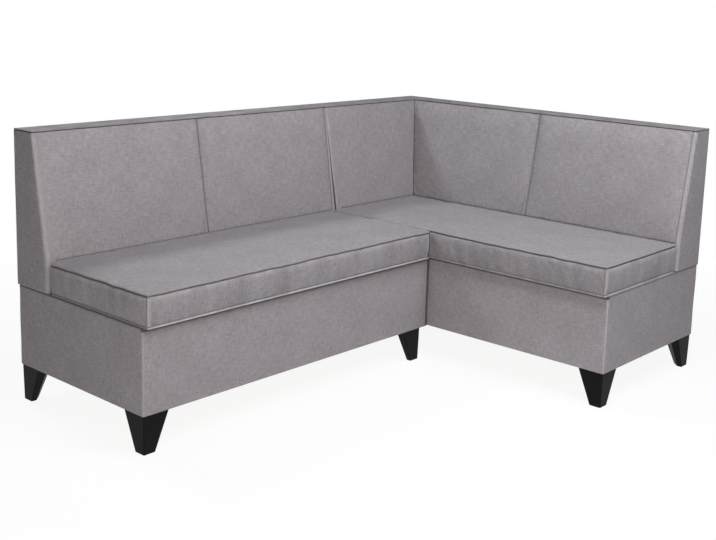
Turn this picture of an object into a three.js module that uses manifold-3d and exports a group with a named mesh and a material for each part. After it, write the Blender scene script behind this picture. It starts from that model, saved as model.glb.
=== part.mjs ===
// Corner storage bench: a straight chest and a corner chest that meet at a right angle. Each
// chest stands on four tapered legs, is covered in cloth, and has an upholstered seat as its
// lid. The lid turns up on cranked hinges whose pins lie just under the top of the cushion, so
// that the thick cushion clears the padded back as it opens.
//
// Lengths are in millimetres. Z is up, X runs along the straight chest, Y runs towards its
// back, and the origin is on the floor in the middle of the whole footprint.
//
// Each chest is drawn in a frame of its own: x from left to right for someone who faces its
// front, y = 0 at the rear of its back, the seat towards -y, and z up from the floor.

import * as THREE from 'three';
import { mergeVertices } from 'three/addons/utils/BufferGeometryUtils.js';
import Module from 'manifold-3d';

const wasm = await Module();
wasm.setup();

// Overall sizes
const straightLength = 1300;
const cornerLength = 1385;
const chestDepth = 650;
const legHeight = 120;
const chestHeight = 263;
const cushionHeight = 102;
const backRise = 503;
const backTopDepth = 100;
const backSeatDepth = 170;

// Clearances: between pieces that rest on each other, past the faces of a cut, and between
// the two chests
const fit = 0.3;
const overrun = 2;
const chestGap = 2;

// Chests
const chestCoverThickness = 6;
const chestCornerRadius = 12;
const chestWallThickness = 18;
const chestFloorThickness = 15;
const backProud = 4;

// Legs: corner blocks whose two outer faces stand almost upright and whose inner corner is cut
// off on the diagonal. The inner share is what the cut leaves of each inner face.
const legTopWidth = 93;
const legInnerShare = 0.38;
const legFootWidth = 42;
const legInset = 5;
const legDraft = 2;
const legEdgeRadius = 3;
const legFootChamfer = 1.5;
const jointLegInset = 40;
const studRadius = 4;
const studLength = 12;
const studRoundShare = 0.97;

// Backs
const backCoverThickness = 6;
const backPanelThickness = 12;
const slopeBoardThickness = 9;
const railDepth = 45;
const ribThickness = 18;
const padThickness = 40;
const padCrown = 9;
const padEdgeRadius = 9;
const padCrownReach = 90;
const padCornerRadius = 6;
const padSeamGap = 1;
const outerPanelWidth = 650;

// Seats
const seatOverhang = 14;
const seatEndInset = 8;
const seatGap = 16;
const seatKnuckleClearance = 1;
const seatReturnClearance = 8;
const seatBoardThickness = 15;
const seatSkirtThickness = 6;
const seatCornerRadius = 16;
const seatBandBulge = 4;
const seatPipingHeight = 5;
const seatPipingBulge = 2;
const seatSeamDepth = 2;
const seatSeamWidth = 4;
const seatCrown = 8;
const seatCrownReach = 170;

// Cranked hinges
const pivotDrop = 5;
const pivotReach = 7;
const knuckleRadius = 4.5;
const leafThickness = 3;
const leafWidth = 62;
const leafHeight = 72;
const strapWidth = 30;
const strapFootLength = 92;
const strapBendRadius = 3;
const pinRadius = 2.5;
const pinHeadRadius = 3.8;
const pinHeadThickness = 1.5;
const screwHoleRadius = 2.3;
const screwEdgeDistance = 12;
const screwSpacing = 24;
const leafBendRadius = 1;
const hingePlaceShares = [0.16, 0.84];

// Joining bolts between the chests
const boltRadius = 4;
const boltHeadRadius = 10;
const boltHeadThickness = 3;
const boltPlaceShares = [0.38, 0.86];
const boltHeightShare = 0.55;

// Numbers of steps on the round stretches, and of columns on the padded bodies
const cornerSteps = 4;
const roundSteps = 16;
const bendSteps = 4;
const seatBandSteps = 5;
const seatCrownSteps = 5;
const seatStepsAcross = 10;
const seatStepsDeep = 5;
const padEdgeSteps = 3;
const padCrownSteps = 4;
const padStepsAcross = 6;
const padStepsDeep = 4;

// Heights and lengths that follow from the sizes above
const chestTop = legHeight + chestHeight;
const seatTop = chestTop + cushionHeight;
const backTop = chestTop + backRise;
const longArm = straightLength + chestDepth;
const seatBottom = chestTop + fit;
const pivotHeight = seatTop - pivotDrop;
const pivotDepth = backSeatDepth + pivotReach;
const boltHeight = legHeight + chestHeight * boltHeightShare;
const seatRearClearance = pivotReach + knuckleRadius + seatKnuckleClearance;

// Directions in a chest's frame. The long back faces the front, and the return back faces along.
const upwards = new THREE.Vector3(0, 0, 1);
const along = new THREE.Vector3(1, 0, 0);
const towardsFront = new THREE.Vector3(0, -1, 0);
const towardsRear = new THREE.Vector3(0, 1, 0);

const cloth = { color: '#989396', roughness: 0.95, metalness: 0 };
const seatCloth = { color: '#9f9da0', roughness: 0.95, metalness: 0 };
const blackWood = { color: '#201f20', roughness: 0.45, metalness: 0 };
const plywood = { color: '#c8a97c', roughness: 0.7, metalness: 0 };
const beech = { color: '#cfa97a', roughness: 0.6, metalness: 0 };
const darkSteel = { color: '#4b4c50', roughness: 0.4, metalness: 0.9 };

// Adds one named piece to a group.
function addPiece(group, name, geometry, finish) {
  const mesh = new THREE.Mesh(geometry, new THREE.MeshStandardMaterial(finish));
  mesh.name = name;
  group.add(mesh);
  return mesh;
}

// Adds a square-edged board that spans low to high.
function addBoard(group, name, finish, low, high) {
  const size = high.map((value, axis) => value - low[axis]);
  const mesh = addPiece(group, name, new THREE.BoxGeometry(...size), finish);
  mesh.position.set(...low.map((value, axis) => value + size[axis] / 2));
  return mesh;
}

// Turns a closed geometry into a solid that can be joined and cut.
function toSolid(geometry) {
  const bare = geometry.clone();
  bare.deleteAttribute('normal');
  bare.deleteAttribute('uv');
  const merged = mergeVertices(bare);
  const vertProperties = new Float32Array(merged.attributes.position.array);
  const triVerts = new Uint32Array(merged.index.array);
  return new wasm.Manifold(new wasm.Mesh({ numProp: 3, vertProperties, triVerts }));
}

// Turns a solid back into a geometry.
function toGeometry(solid) {
  const mesh = solid.getMesh();
  const geometry = new THREE.BufferGeometry();
  const positions = new Float32Array(mesh.vertProperties);
  geometry.setAttribute('position', new THREE.BufferAttribute(positions, 3));
  geometry.setIndex(new THREE.BufferAttribute(new Uint32Array(mesh.triVerts), 1));
  geometry.computeVertexNormals();
  return geometry;
}

// Cuts each cutter out of a geometry.
function cutAway(geometry, cutters) {
  const cut = cutters.reduce((solid, cutter) => solid.subtract(toSolid(cutter)), toSolid(geometry));
  return toGeometry(cut);
}

// A block that spans low to high, for cutting or joining.
function block(low, high) {
  const size = high.map((value, axis) => value - low[axis]);
  const middle = low.map((value, axis) => value + size[axis] / 2);
  return new THREE.BoxGeometry(...size).translate(...middle);
}

// A round bar from start, along a unit direction.
function roundBar(radius, length, start, direction) {
  const turn = new THREE.Quaternion().setFromUnitVectors(towardsRear, direction);
  const bar = new THREE.CylinderGeometry(radius, radius, length, roundSteps);
  bar.translate(0, length / 2, 0).applyQuaternion(turn);
  return bar.translate(start.x, start.y, start.z);
}

// A closed outline through points given as pairs.
function outlineOf(points) {
  return new THREE.Shape(points.map(([across, up]) => new THREE.Vector2(across, up)));
}

// Extrudes an outline drawn as (distance forward, height) sideways from a start point, in the
// direction forward x up.
function extrudeSideways(outline, forward, start, length) {
  const settings = { depth: length, bevelEnabled: false, curveSegments: bendSteps };
  const geometry = new THREE.ExtrudeGeometry(outline, settings);
  const side = new THREE.Vector3().crossVectors(forward, upwards);
  geometry.applyMatrix4(new THREE.Matrix4().makeBasis(forward, upwards, side));
  return geometry.translate(start.x, start.y, start.z);
}

// The points of a rectangle with round corners, counter-clockwise from its right side. Each
// side has the same number of points whatever its length, so rings of any size can be joined.
function roundedRing([left, right], [front, rear], radius, stepsAcross, stepsDeep) {
  const corners = [
    [right - radius, rear - radius, stepsAcross],
    [left + radius, rear - radius, stepsDeep],
    [left + radius, front + radius, stepsAcross],
    [right - radius, front + radius, stepsDeep],
  ];
  const points = [];
  corners.forEach(([x, y, sideSteps], quarter) => {
    for (let step = 0; step <= cornerSteps; step++) {
      const angle = (quarter + step / cornerSteps) * (Math.PI / 2);
      points.push([x + radius * Math.cos(angle), y + radius * Math.sin(angle)]);
    }
    const [nextX, nextY] = corners[(quarter + 1) % corners.length];
    const endAngle = (quarter + 1) * (Math.PI / 2);
    for (let step = 1; step < sideSteps; step++) {
      const share = step / sideSteps;
      const alongX = THREE.MathUtils.lerp(x, nextX, share);
      const alongY = THREE.MathUtils.lerp(y, nextY, share);
      points.push([alongX + radius * Math.cos(endAngle), alongY + radius * Math.sin(endAngle)]);
    }
  });
  return points;
}

// Skins a closed body over rings with equal numbers of points. Both ends close on a point in
// the middle of their ring.
function loft(rings) {
  const count = rings[0].length;
  const points = rings.flat();
  const faces = [];
  const addCap = (ring, first, facesDown) => {
    const middle = points.length;
    const sum = ring.reduce((total, point) => total.add(point), new THREE.Vector3());
    points.push(sum.divideScalar(count));
    for (let i = 0; i < count; i++) {
      const here = first + i;
      const next = first + ((i + 1) % count);
      faces.push(middle, facesDown ? next : here, facesDown ? here : next);
    }
  };
  for (let level = 0; level < rings.length - 1; level++) {
    for (let i = 0; i < count; i++) {
      const here = level * count + i;
      const next = level * count + ((i + 1) % count);
      faces.push(here, next, next + count, here, next + count, here + count);
    }
  }
  addCap(rings[0], 0, true);
  addCap(rings[rings.length - 1], (rings.length - 1) * count, false);
  const geometry = new THREE.BufferGeometry().setFromPoints(points);
  geometry.setIndex(faces);
  geometry.computeVertexNormals();
  return geometry;
}

// A padded body: its profile lists [inset, height] from the underside to the crown, and place
// maps a point across, a point deep and a height to the chest's frame.
function paddedBody(width, depth, radius, stepsAcross, stepsDeep, profile, place) {
  const rings = profile.map(([inset, height]) => {
    const across = [inset, width - inset];
    const deep = [inset, depth - inset];
    const ringRadius = Math.max(radius - inset, radius / 2);
    const ring = roundedRing(across, deep, ringRadius, stepsAcross, stepsDeep);
    return ring.map(([x, y]) => place(x, y, height));
  });
  return loft(rings);
}

// Points of a crown that rises from an edge: a quarter of a smooth hill.
function crownProfile(edgeInset, edgeHeight, reach, rise, steps) {
  return Array.from({ length: steps }, (_, index) => {
    const share = (index + 1) / steps;
    return [edgeInset + reach * share, edgeHeight + rise * (1 - (1 - share) ** 2)];
  });
}

// How far the front of a back stands from its rear at a height above the floor: upright up to
// the seat, then leaning evenly to the top.
function backDepthAt(height) {
  const share = Math.max(height - seatTop, 0) / (backTop - seatTop);
  return THREE.MathUtils.lerp(backSeatDepth, backTopDepth, share);
}

// Chest

// The inner faces of a chest's cover, where its boards begin.
function insideCover(chest) {
  const inset = chestCoverThickness + fit;
  return {
    left: chest.left + inset,
    right: chest.right - inset,
    front: chest.front + inset,
    rear: chest.rear - inset,
  };
}

// The four legs' outer corners, each with the directions in which the leg widens.
function legCorners(chest) {
  const left = chest.left + chest.leftLegInset;
  const right = chest.right - chest.rightLegInset;
  const front = chest.front + legInset;
  const rear = chest.rear - legInset;
  return [
    { name: 'front_left', x: left, y: front, inX: 1, inY: 1 },
    { name: 'front_right', x: right, y: front, inX: -1, inY: 1 },
    { name: 'rear_left', x: left, y: rear, inX: 1, inY: -1 },
    { name: 'rear_right', x: right, y: rear, inX: -1, inY: -1 },
  ];
}

// Cutters for the joining bolts, in the frame of either chest. A bolt lies at one distance
// from the rear of the straight back, which is the corner chest's own left face.
function boltCutters(chest) {
  return boltPlaceShares.map((share) => {
    const place = chestDepth * share;
    const start = chest.boltStart(place);
    const length = 2 * (chestGap + chestCoverThickness + fit + chestWallThickness + overrun);
    return roundBar(boltRadius + fit, length, start, chest.boltDirection);
  });
}

// The cover: a sleeve of cloth over thin padding round all four walls.
function addChestCover(group, chest) {
  const inside = insideCover(chest);
  const across = [chest.left, chest.right];
  const deep = [chest.front, chest.rear];
  const outer = roundedRing(across, deep, chestCornerRadius, 1, 1);
  const sleeve = outlineOf(outer);
  sleeve.holes.push(outlineOf([
    [inside.left - fit, inside.front - fit],
    [inside.right + fit, inside.front - fit],
    [inside.right + fit, inside.rear + fit],
    [inside.left - fit, inside.rear + fit],
  ]));
  const geometry = new THREE.ExtrudeGeometry(sleeve, { depth: chestHeight, bevelEnabled: false });
  geometry.translate(0, 0, legHeight);
  addPiece(group, `${chest.name}_chest_cover`, cutAway(geometry, boltCutters(chest)), cloth);
}

// The floor board, with a hole over each leg's stud.
function addChestFloor(group, chest) {
  const inside = insideCover(chest);
  const low = [inside.left, inside.front, legHeight];
  const high = [inside.right, inside.rear, legHeight + chestFloorThickness];
  const floor = block(low, high);
  const holes = legCorners(chest).map((corner) => {
    const start = new THREE.Vector3(...studPlace(corner), legHeight - overrun);
    return roundBar(studRadius + fit, chestFloorThickness + 2 * overrun, start, upwards);
  });
  addPiece(group, `${chest.name}_chest_floor`, cutAway(floor, holes), plywood);
}

// Four walls that stand on the floor board. The wall that the joining bolts pass has holes.
function addChestWalls(group, chest) {
  const inside = insideCover(chest);
  const low = legHeight + chestFloorThickness + fit;
  const frontInner = inside.front + chestWallThickness;
  const rearInner = inside.rear - chestWallThickness;
  const leftInner = inside.left + chestWallThickness;
  const rightInner = inside.right - chestWallThickness;
  const walls = {
    front: [[inside.left, inside.front, low], [inside.right, frontInner, chestTop]],
    rear: [[inside.left, rearInner, low], [inside.right, inside.rear, chestTop]],
    left: [[inside.left, frontInner + fit, low], [leftInner, rearInner - fit, chestTop]],
    right: [[rightInner, frontInner + fit, low], [inside.right, rearInner - fit, chestTop]],
  };
  Object.entries(walls).forEach(([side, [from, to]]) => {
    const name = `${chest.name}_chest_${side}`;
    if (side === chest.boltedWall) {
      addPiece(group, name, cutAway(block(from, to), boltCutters(chest)), plywood);
    } else {
      addBoard(group, name, plywood, from, to);
    }
  });
}

// The middle of a leg's top, where its stud stands.
function studPlace(corner) {
  const half = legTopWidth / 2;
  return [corner.x + corner.inX * half, corner.y + corner.inY * half];
}

// What is cut from a leg's inner corner: all that lies past a plane that leans with the taper.
function legCutter(corner) {
  const forward = new THREE.Vector3(corner.inX, corner.inY, 0).normalize();
  const side = new THREE.Vector3().crossVectors(forward, upwards);
  const reachAt = (outset, width) => (2 * outset + width * (1 + legInnerShare)) * Math.SQRT1_2;
  const low = -overrun;
  const high = legHeight + overrun;
  const outline = outlineOf([
    [reachAt(legDraft, legFootWidth), low],
    [2 * legTopWidth, low],
    [2 * legTopWidth, high],
    [reachAt(0, legTopWidth), high],
  ]);
  const start = new THREE.Vector3(corner.x, corner.y, 0).addScaledVector(side, -legTopWidth);
  return extrudeSideways(outline, forward, start, 2 * legTopWidth);
}

// A leg tapers on its two inner faces only. The stud in its top screws into the floor board.
function addLeg(group, chest, corner) {
  const square = (outset, width, radius, height) => {
    const across = [outset, outset + width].map((value) => corner.x + corner.inX * value);
    const deep = [outset, outset + width].map((value) => corner.y + corner.inY * value);
    const rising = (a, b) => a - b;
    const ring = roundedRing(across.sort(rising), deep.sort(rising), radius, 1, 1);
    return ring.map(([x, y]) => new THREE.Vector3(x, y, height));
  };
  const top = legHeight - fit;
  const studOutset = legTopWidth / 2 - studRadius;
  const footInset = legDraft + legFootChamfer;
  const footWidth = legFootWidth - 2 * legFootChamfer;
  const studEdge = studRadius * studRoundShare;
  const geometry = loft([
    square(footInset, footWidth, legEdgeRadius, 0),
    square(legDraft, legFootWidth, legEdgeRadius, legFootChamfer),
    square(0, legTopWidth, legEdgeRadius, top),
    square(studOutset, 2 * studRadius, studEdge, top),
    square(studOutset, 2 * studRadius, studEdge, top + studLength),
  ]);
  const leg = cutAway(geometry, [legCutter(corner)]);
  addPiece(group, `${chest.name}_leg_${corner.name}`, leg, blackWood);
}

function addChest(group, chest) {
  addChestFloor(group, chest);
  addChestWalls(group, chest);
  addChestCover(group, chest);
  legCorners(chest).forEach((corner) => addLeg(group, chest, corner));
}

// Seat: a board and a boxed cushion whose cover wraps down over the board's edges

function seatProfile() {
  const pocketTop = seatBoardThickness + fit;
  const pipingTop = seatPipingHeight;
  const bandTop = cushionHeight - fit - seatSeamWidth;
  const profile = [
    [seatSkirtThickness, pocketTop],
    [seatSkirtThickness, 0],
    [seatSeamDepth, 0],
    [-seatPipingBulge, pipingTop / 2],
    [0, pipingTop],
  ];
  for (let step = 1; step <= seatBandSteps; step++) {
    const share = step / (seatBandSteps + 1);
    const bulge = seatBandBulge * Math.sin(Math.PI * share);
    profile.push([-bulge, THREE.MathUtils.lerp(pipingTop, bandTop, share)]);
  }
  const edge = cushionHeight - fit;
  profile.push([0, bandTop], [seatSeamDepth, edge - seatSeamDepth], [seatSeamWidth, edge]);
  return profile.concat(
    crownProfile(seatSeamWidth, edge, seatCrownReach, seatCrown, seatCrownSteps),
  );
}

// The rear face stays flat, because the hinge straps pass close behind it.
function addSeat(group, chest) {
  const front = -(chestDepth + seatOverhang);
  const rear = -(backSeatDepth + seatRearClearance);
  const width = chest.seatRight - chest.seatLeft;
  const depth = rear - front;
  const place = (across, forward, height) => new THREE.Vector3(
    chest.seatLeft + across, front + Math.min(forward, depth), seatBottom + height,
  );
  const cushion = paddedBody(
    width, depth, seatCornerRadius, seatStepsAcross, seatStepsDeep, seatProfile(), place,
  );
  addPiece(group, `${chest.name}_seat_cushion`, cushion, seatCloth);
  const edge = seatSkirtThickness + fit;
  const low = [chest.seatLeft + edge, front + edge, seatBottom];
  const high = [chest.seatRight - edge, rear - edge, seatBottom + seatBoardThickness];
  const board = roundedRing([low[0], high[0]], [low[1], high[1]], seatCornerRadius, 1, 1);
  const settings = { depth: seatBoardThickness, bevelEnabled: false };
  const geometry = new THREE.ExtrudeGeometry(outlineOf(board), settings).translate(0, 0, seatBottom);
  addPiece(group, `${chest.name}_seat_board`, geometry, plywood);
}

// Hinge: outlines are drawn as (distance forward of the pin, height above it)

// The fixed leaf hangs on the front of the rail and reaches forward to its knuckle.
function leafOutline() {
  const half = leafThickness / 2;
  const front = -pivotReach;
  const rear = front - leafThickness;
  const meet = Math.asin(half / knuckleRadius);
  const bend = leafBendRadius;
  const outline = new THREE.Shape();
  outline.moveTo(rear, -leafHeight);
  outline.lineTo(front, -leafHeight);
  outline.lineTo(front, -half - bend);
  outline.absarc(front + bend, -half - bend, bend, Math.PI, Math.PI / 2, true);
  outline.absarc(0, 0, knuckleRadius, Math.PI + meet, 3 * Math.PI - meet, false);
  outline.lineTo(rear + leafThickness, half);
  outline.absarc(rear + leafThickness, half - leafThickness, leafThickness, Math.PI / 2, Math.PI, false);
  outline.closePath();
  return outline;
}

// The strap drops behind the cushion from its knuckle, turns under the seat board and ends in
// a foot that is screwed to it.
function strapOutline() {
  const half = leafThickness / 2;
  const footTop = seatBottom - fit - pivotHeight;
  const footBottom = footTop - leafThickness;
  const outerBend = strapBendRadius + leafThickness;
  const meet = Math.asin(half / knuckleRadius);
  const bend = strapBendRadius;
  const outline = new THREE.Shape();
  outline.moveTo(half, footTop + bend);
  outline.absarc(half + bend, footTop + bend, bend, Math.PI, 1.5 * Math.PI, false);
  outline.lineTo(strapFootLength, footTop);
  outline.lineTo(strapFootLength, footBottom);
  outline.absarc(outerBend - half, footBottom + outerBend, outerBend, 1.5 * Math.PI, Math.PI, true);
  outline.absarc(0, 0, knuckleRadius, 1.5 * Math.PI - meet, -0.5 * Math.PI + meet, true);
  outline.closePath();
  return outline;
}

function pinHole() {
  const angles = Array.from({ length: roundSteps }, (_, step) => (2 * Math.PI * step) / roundSteps);
  const radius = pinRadius + fit;
  return outlineOf(angles.map((angle) => [radius * Math.cos(angle), radius * Math.sin(angle)]));
}

// Extrudes a hinge outline about the pin, centred on the middle of the hinge.
function hingeExtrusion(outline, width, middle) {
  outline.holes.push(pinHole());
  const start = new THREE.Vector3(middle.x + width / 2, middle.y, middle.z);
  return extrudeSideways(outline, towardsFront, start, width);
}

// The leaf has two knuckles with a gap between them for the strap's, and three screw holes.
function hingeLeaf(middle) {
  const clear = strapWidth / 2 + fit;
  const reach = knuckleRadius + overrun;
  const knuckleGap = block(
    [middle.x - clear, middle.y - reach, middle.z - reach],
    [middle.x + clear, middle.y + knuckleRadius + fit, middle.z + reach],
  );
  const side = leafWidth / 2 - screwEdgeDistance;
  const lowest = screwEdgeDistance - leafHeight;
  const places = [[-side, lowest], [0, lowest + screwSpacing], [side, lowest]];
  const screws = places.map(([across, above]) => {
    const start = new THREE.Vector3(across, pivotReach - overrun, above).add(middle);
    return roundBar(screwHoleRadius, leafThickness + 2 * overrun, start, towardsRear);
  });
  const leaf = hingeExtrusion(leafOutline(), leafWidth, middle);
  return cutAway(leaf, [knuckleGap, ...screws]);
}

// The strap has one knuckle, and a row of three screw holes in its foot.
function hingeStrap(middle) {
  const screws = [0, 1, 2].map((row) => {
    const out = strapFootLength - screwEdgeDistance - screwSpacing * row;
    const bottom = seatBottom - leafThickness - overrun;
    const start = new THREE.Vector3(middle.x, middle.y - out, bottom);
    return roundBar(screwHoleRadius, leafThickness + 2 * overrun, start, upwards);
  });
  return cutAway(hingeExtrusion(strapOutline(), strapWidth, middle), screws);
}

function hingePin(middle) {
  const start = new THREE.Vector3(middle.x - leafWidth / 2 - fit, middle.y, middle.z);
  return headedPin(pinRadius, pinHeadRadius, pinHeadThickness, leafWidth + 2 * fit, start, along);
}

function addHinge(group, chest, number, middleX) {
  const middle = new THREE.Vector3(middleX, -pivotDepth, pivotHeight);
  addPiece(group, `${chest.name}_hinge_leaf_${number}`, hingeLeaf(middle), darkSteel);
  addPiece(group, `${chest.name}_hinge_strap_${number}`, hingeStrap(middle), darkSteel);
  addPiece(group, `${chest.name}_hinge_pin_${number}`, hingePin(middle), darkSteel);
}

// A pin or bolt with a head at each end. The grip lies between the heads, from start.
function headedPin(radius, headRadius, headThickness, grip, start, direction) {
  const profile = [
    [0, -headThickness],
    [headRadius, -headThickness],
    [headRadius, 0],
    [radius, 0],
    [radius, grip],
    [headRadius, grip],
    [headRadius, grip + headThickness],
    [0, grip + headThickness],
  ];
  const points = profile.map(([out, up]) => new THREE.Vector2(out, up));
  const turn = new THREE.Quaternion().setFromUnitVectors(towardsRear, direction);
  const geometry = new THREE.LatheGeometry(points, roundSteps).applyQuaternion(turn);
  return toGeometry(toSolid(geometry.translate(start.x, start.y, start.z)));
}

// Back

// The outline of a back's end: upright to the seat, then leaning back to a flat top.
function wedgeOutline(rear, base, top, frontSetback) {
  return outlineOf([
    [rear, base],
    [backDepthAt(base) - frontSetback, base],
    [backDepthAt(seatTop) - frontSetback, seatTop],
    [backDepthAt(top) - frontSetback, top],
    [rear, top],
  ]);
}

// A wing's cover is a thin shell over its rear, its top and its ends, open at the front and
// below. The cutter inside it leaves an end wall only where the wing has a free end.
function wingCover(forward, start, length, cutStart, cutLength) {
  const shell = extrudeSideways(wedgeOutline(0, chestTop + fit, backTop, 0), forward, start, length);
  const underTop = backTop - backCoverThickness;
  const hollow = outlineOf([
    [backCoverThickness, chestTop - overrun],
    [backSeatDepth + overrun, chestTop - overrun],
    [backSeatDepth + overrun, underTop],
    [backCoverThickness, underTop],
  ]);
  return cutAway(shell, [extrudeSideways(hollow, forward, cutStart, cutLength)]);
}

// What lies between the rear cover and the pads, for a wing drawn along a line of its own.
function wingParts() {
  const panelRear = backCoverThickness + fit;
  const panelFront = panelRear + backPanelThickness;
  const padRear = padThickness + fit;
  const boardRear = padRear + slopeBoardThickness;
  const railFront = backSeatDepth - leafThickness - fit;
  const railRear = railFront - railDepth;
  const base = chestTop + fit;
  const top = backTop - backCoverThickness - fit;
  return {
    panel: outlineOf([[panelRear, base], [panelFront, base], [panelFront, top], [panelRear, top]]),
    rail: outlineOf([[railRear, base], [railFront, base], [railFront, seatTop], [railRear, seatTop]]),
    slope: outlineOf([
      [backDepthAt(seatTop) - boardRear, seatTop + fit],
      [backDepthAt(seatTop) - padRear, seatTop + fit],
      [backDepthAt(top) - padRear, top],
      [backDepthAt(top) - boardRear, top],
    ]),
    rib: outlineOf([
      [panelFront + fit, base],
      [railRear - fit, base],
      [railRear - fit, seatTop],
      [backDepthAt(seatTop) - boardRear - fit, seatTop + fit],
      [backDepthAt(top) - boardRear - fit, top],
      [panelFront + fit, top],
    ]),
  };
}

function padProfile() {
  const profile = [[0, 0]];
  for (let step = 0; step <= padEdgeSteps; step++) {
    const angle = (step / padEdgeSteps) * (Math.PI / 2);
    const inset = padEdgeRadius * (1 - Math.cos(angle));
    profile.push([inset, padThickness - padEdgeRadius * (1 - Math.sin(angle))]);
  }
  return profile.concat(
    crownProfile(padEdgeRadius, padThickness, padCrownReach, padCrown, padCrownSteps),
  );
}

// A back pad. spanAt gives where the pad starts and ends along its wing at a depth, so that a
// pad can be mitred into the corner, and pointAt turns (along, depth, height) into a point.
function addPad(group, name, spanAt, pointAt) {
  const low = seatTop + fit;
  const high = backTop - backCoverThickness - fit;
  const [nominalStart, nominalEnd] = spanAt(backSeatDepth);
  const width = nominalEnd - nominalStart;
  const place = (across, rise, out) => {
    const height = low + rise;
    const depth = backDepthAt(height) - padThickness + out;
    const [start, end] = spanAt(depth);
    return pointAt(THREE.MathUtils.lerp(start, end, across / width), depth, height);
  };
  const pad = paddedBody(
    width, high - low, padCornerRadius, padStepsAcross, padStepsDeep, padProfile(), place,
  );
  addPiece(group, name, pad, cloth);
}

// The straight chest's back, and the long wing of the corner chest's back. A wing starts at
// the left and ends at the right of its chest.
function addLongBack(group, chest) {
  const { name, backLeft, backRight, padSpans } = chest;
  const parts = wingParts();
  const lineUp = (part, outline, finish, left, right) => {
    const start = new THREE.Vector3(right, 0, 0);
    const length = right - left;
    addPiece(group, `${name}_${part}`, extrudeSideways(outline, towardsFront, start, length), finish);
  };
  const leftInner = backLeft + backCoverThickness + fit;
  const rightInner = backRight - backCoverThickness - fit;
  lineUp('back_panel', parts.panel, plywood, leftInner, rightInner);
  lineUp('hinge_rail', parts.rail, beech, chest.railLeft, rightInner);
  lineUp('back_slope', parts.slope, plywood, chest.slopeLeft, rightInner);
  lineUp('back_rib_left', parts.rib, plywood, chest.ribLeft, chest.ribLeft + ribThickness);
  lineUp('back_rib_right', parts.rib, plywood, rightInner - ribThickness, rightInner);
  const pointAt = (across, depth, height) => new THREE.Vector3(across, -depth, height);
  addPad(group, `${name}_back_pad_left`, padSpans.left, pointAt);
  addPad(group, `${name}_back_pad_right`, padSpans.right, pointAt);
}

// What lies on one side of the corner's mitre, as a great block turned to 45 degrees. A sign
// of 1 takes what lies towards the long wing, and -1 what lies towards the return wing.
function mitreCutter(sign) {
  const size = cornerLength + chestDepth;
  const cutter = new THREE.BoxGeometry(size, 2 * size, 2 * size);
  cutter.translate(size / 2 - fit / 2, 0, 0);
  const turn = sign > 0 ? Math.PI / 4 : Math.PI / 4 + Math.PI;
  return cutter.rotateZ(turn);
}

function addStraightBackCover(group, chest) {
  const start = new THREE.Vector3(chest.backRight, 0, 0);
  const cutStart = new THREE.Vector3(chest.backRight - backCoverThickness, 0, 0);
  const length = chest.backRight - chest.backLeft;
  const cutLength = length - 2 * backCoverThickness;
  const cover = wingCover(towardsFront, start, length, cutStart, cutLength);
  addPiece(group, `${chest.name}_back_cover`, cover, cloth);
}

// The corner chest's two wings meet in a mitre, and so do their covers. The long wing runs
// along the chest's rear, and the return wing along its left end, in line with the straight
// chest's back.
function addCornerBackCovers(group, chest) {
  const start = new THREE.Vector3(chest.backRight, 0, 0);
  const cutStart = new THREE.Vector3(chest.backRight - backCoverThickness, 0, 0);
  const length = chest.backRight;
  const longCover = wingCover(towardsFront, start, length, cutStart, length);
  addPiece(group, `${chest.name}_back_cover`, cutAway(longCover, [mitreCutter(-1)]), cloth);
  const returnLength = -chest.front;
  const returnStart = new THREE.Vector3(0, 0, 0);
  const returnCutStart = new THREE.Vector3(0, overrun, 0);
  const returnCutLength = returnLength - backCoverThickness + overrun;
  const returnCover = wingCover(along, returnStart, returnLength, returnCutStart, returnCutLength);
  addPiece(group, `${chest.name}_return_cover`, cutAway(returnCover, [mitreCutter(1)]), cloth);
}

// The return wing's frame and pad, from the joint with the straight chest to the corner.
function addReturnBack(group, chest) {
  const { name, front } = chest;
  const parts = wingParts();
  const outer = front + backCoverThickness + fit;
  const lineUp = (part, outline, finish, from, to) => {
    const start = new THREE.Vector3(0, to, 0);
    addPiece(group, `${name}_${part}`, extrudeSideways(outline, along, start, to - from), finish);
  };
  const panelEnd = -(backCoverThickness + 2 * fit + backPanelThickness);
  const railEnd = leafThickness + fit + railDepth - backSeatDepth;
  const slopeEnd = padThickness - fit - backSeatDepth;
  lineUp('return_panel', parts.panel, plywood, outer, panelEnd);
  lineUp('return_rail', parts.rail, beech, outer, railEnd);
  lineUp('return_slope', parts.slope, plywood, outer, slopeEnd);
  lineUp('return_rib', parts.rib, plywood, outer, outer + ribThickness);
  const pointAt = (across, depth, height) => new THREE.Vector3(depth, across, height);
  const spanAt = (depth) => [outer, -(depth + padSeamGap / 2)];
  addPad(group, `${name}_return_pad`, spanAt, pointAt);
}

// The two chests

const straightChest = {
  name: 'straight',
  left: 0,
  right: straightLength - chestGap / 2,
  front: -chestDepth,
  rear: -backProud,
  leftLegInset: legInset,
  rightLegInset: jointLegInset,
  boltedWall: 'right',
  boltDirection: new THREE.Vector3(-1, 0, 0),
  boltStart: (place) => new THREE.Vector3(straightLength, -place, boltHeight),
  seatLeft: seatEndInset,
  seatRight: straightLength - seatOverhang - seatGap,
  backLeft: 0,
  backRight: straightLength - chestGap / 2,
};
const straightPadEdge = backCoverThickness + fit;
const straightMiddle = straightLength - outerPanelWidth;
straightChest.ribLeft = straightPadEdge;
straightChest.railLeft = straightPadEdge;
straightChest.slopeLeft = straightPadEdge;
straightChest.padSpans = {
  left: () => [straightPadEdge, straightMiddle - padSeamGap / 2],
  right: () => [straightMiddle + padSeamGap / 2, straightChest.right - straightPadEdge],
};

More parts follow.
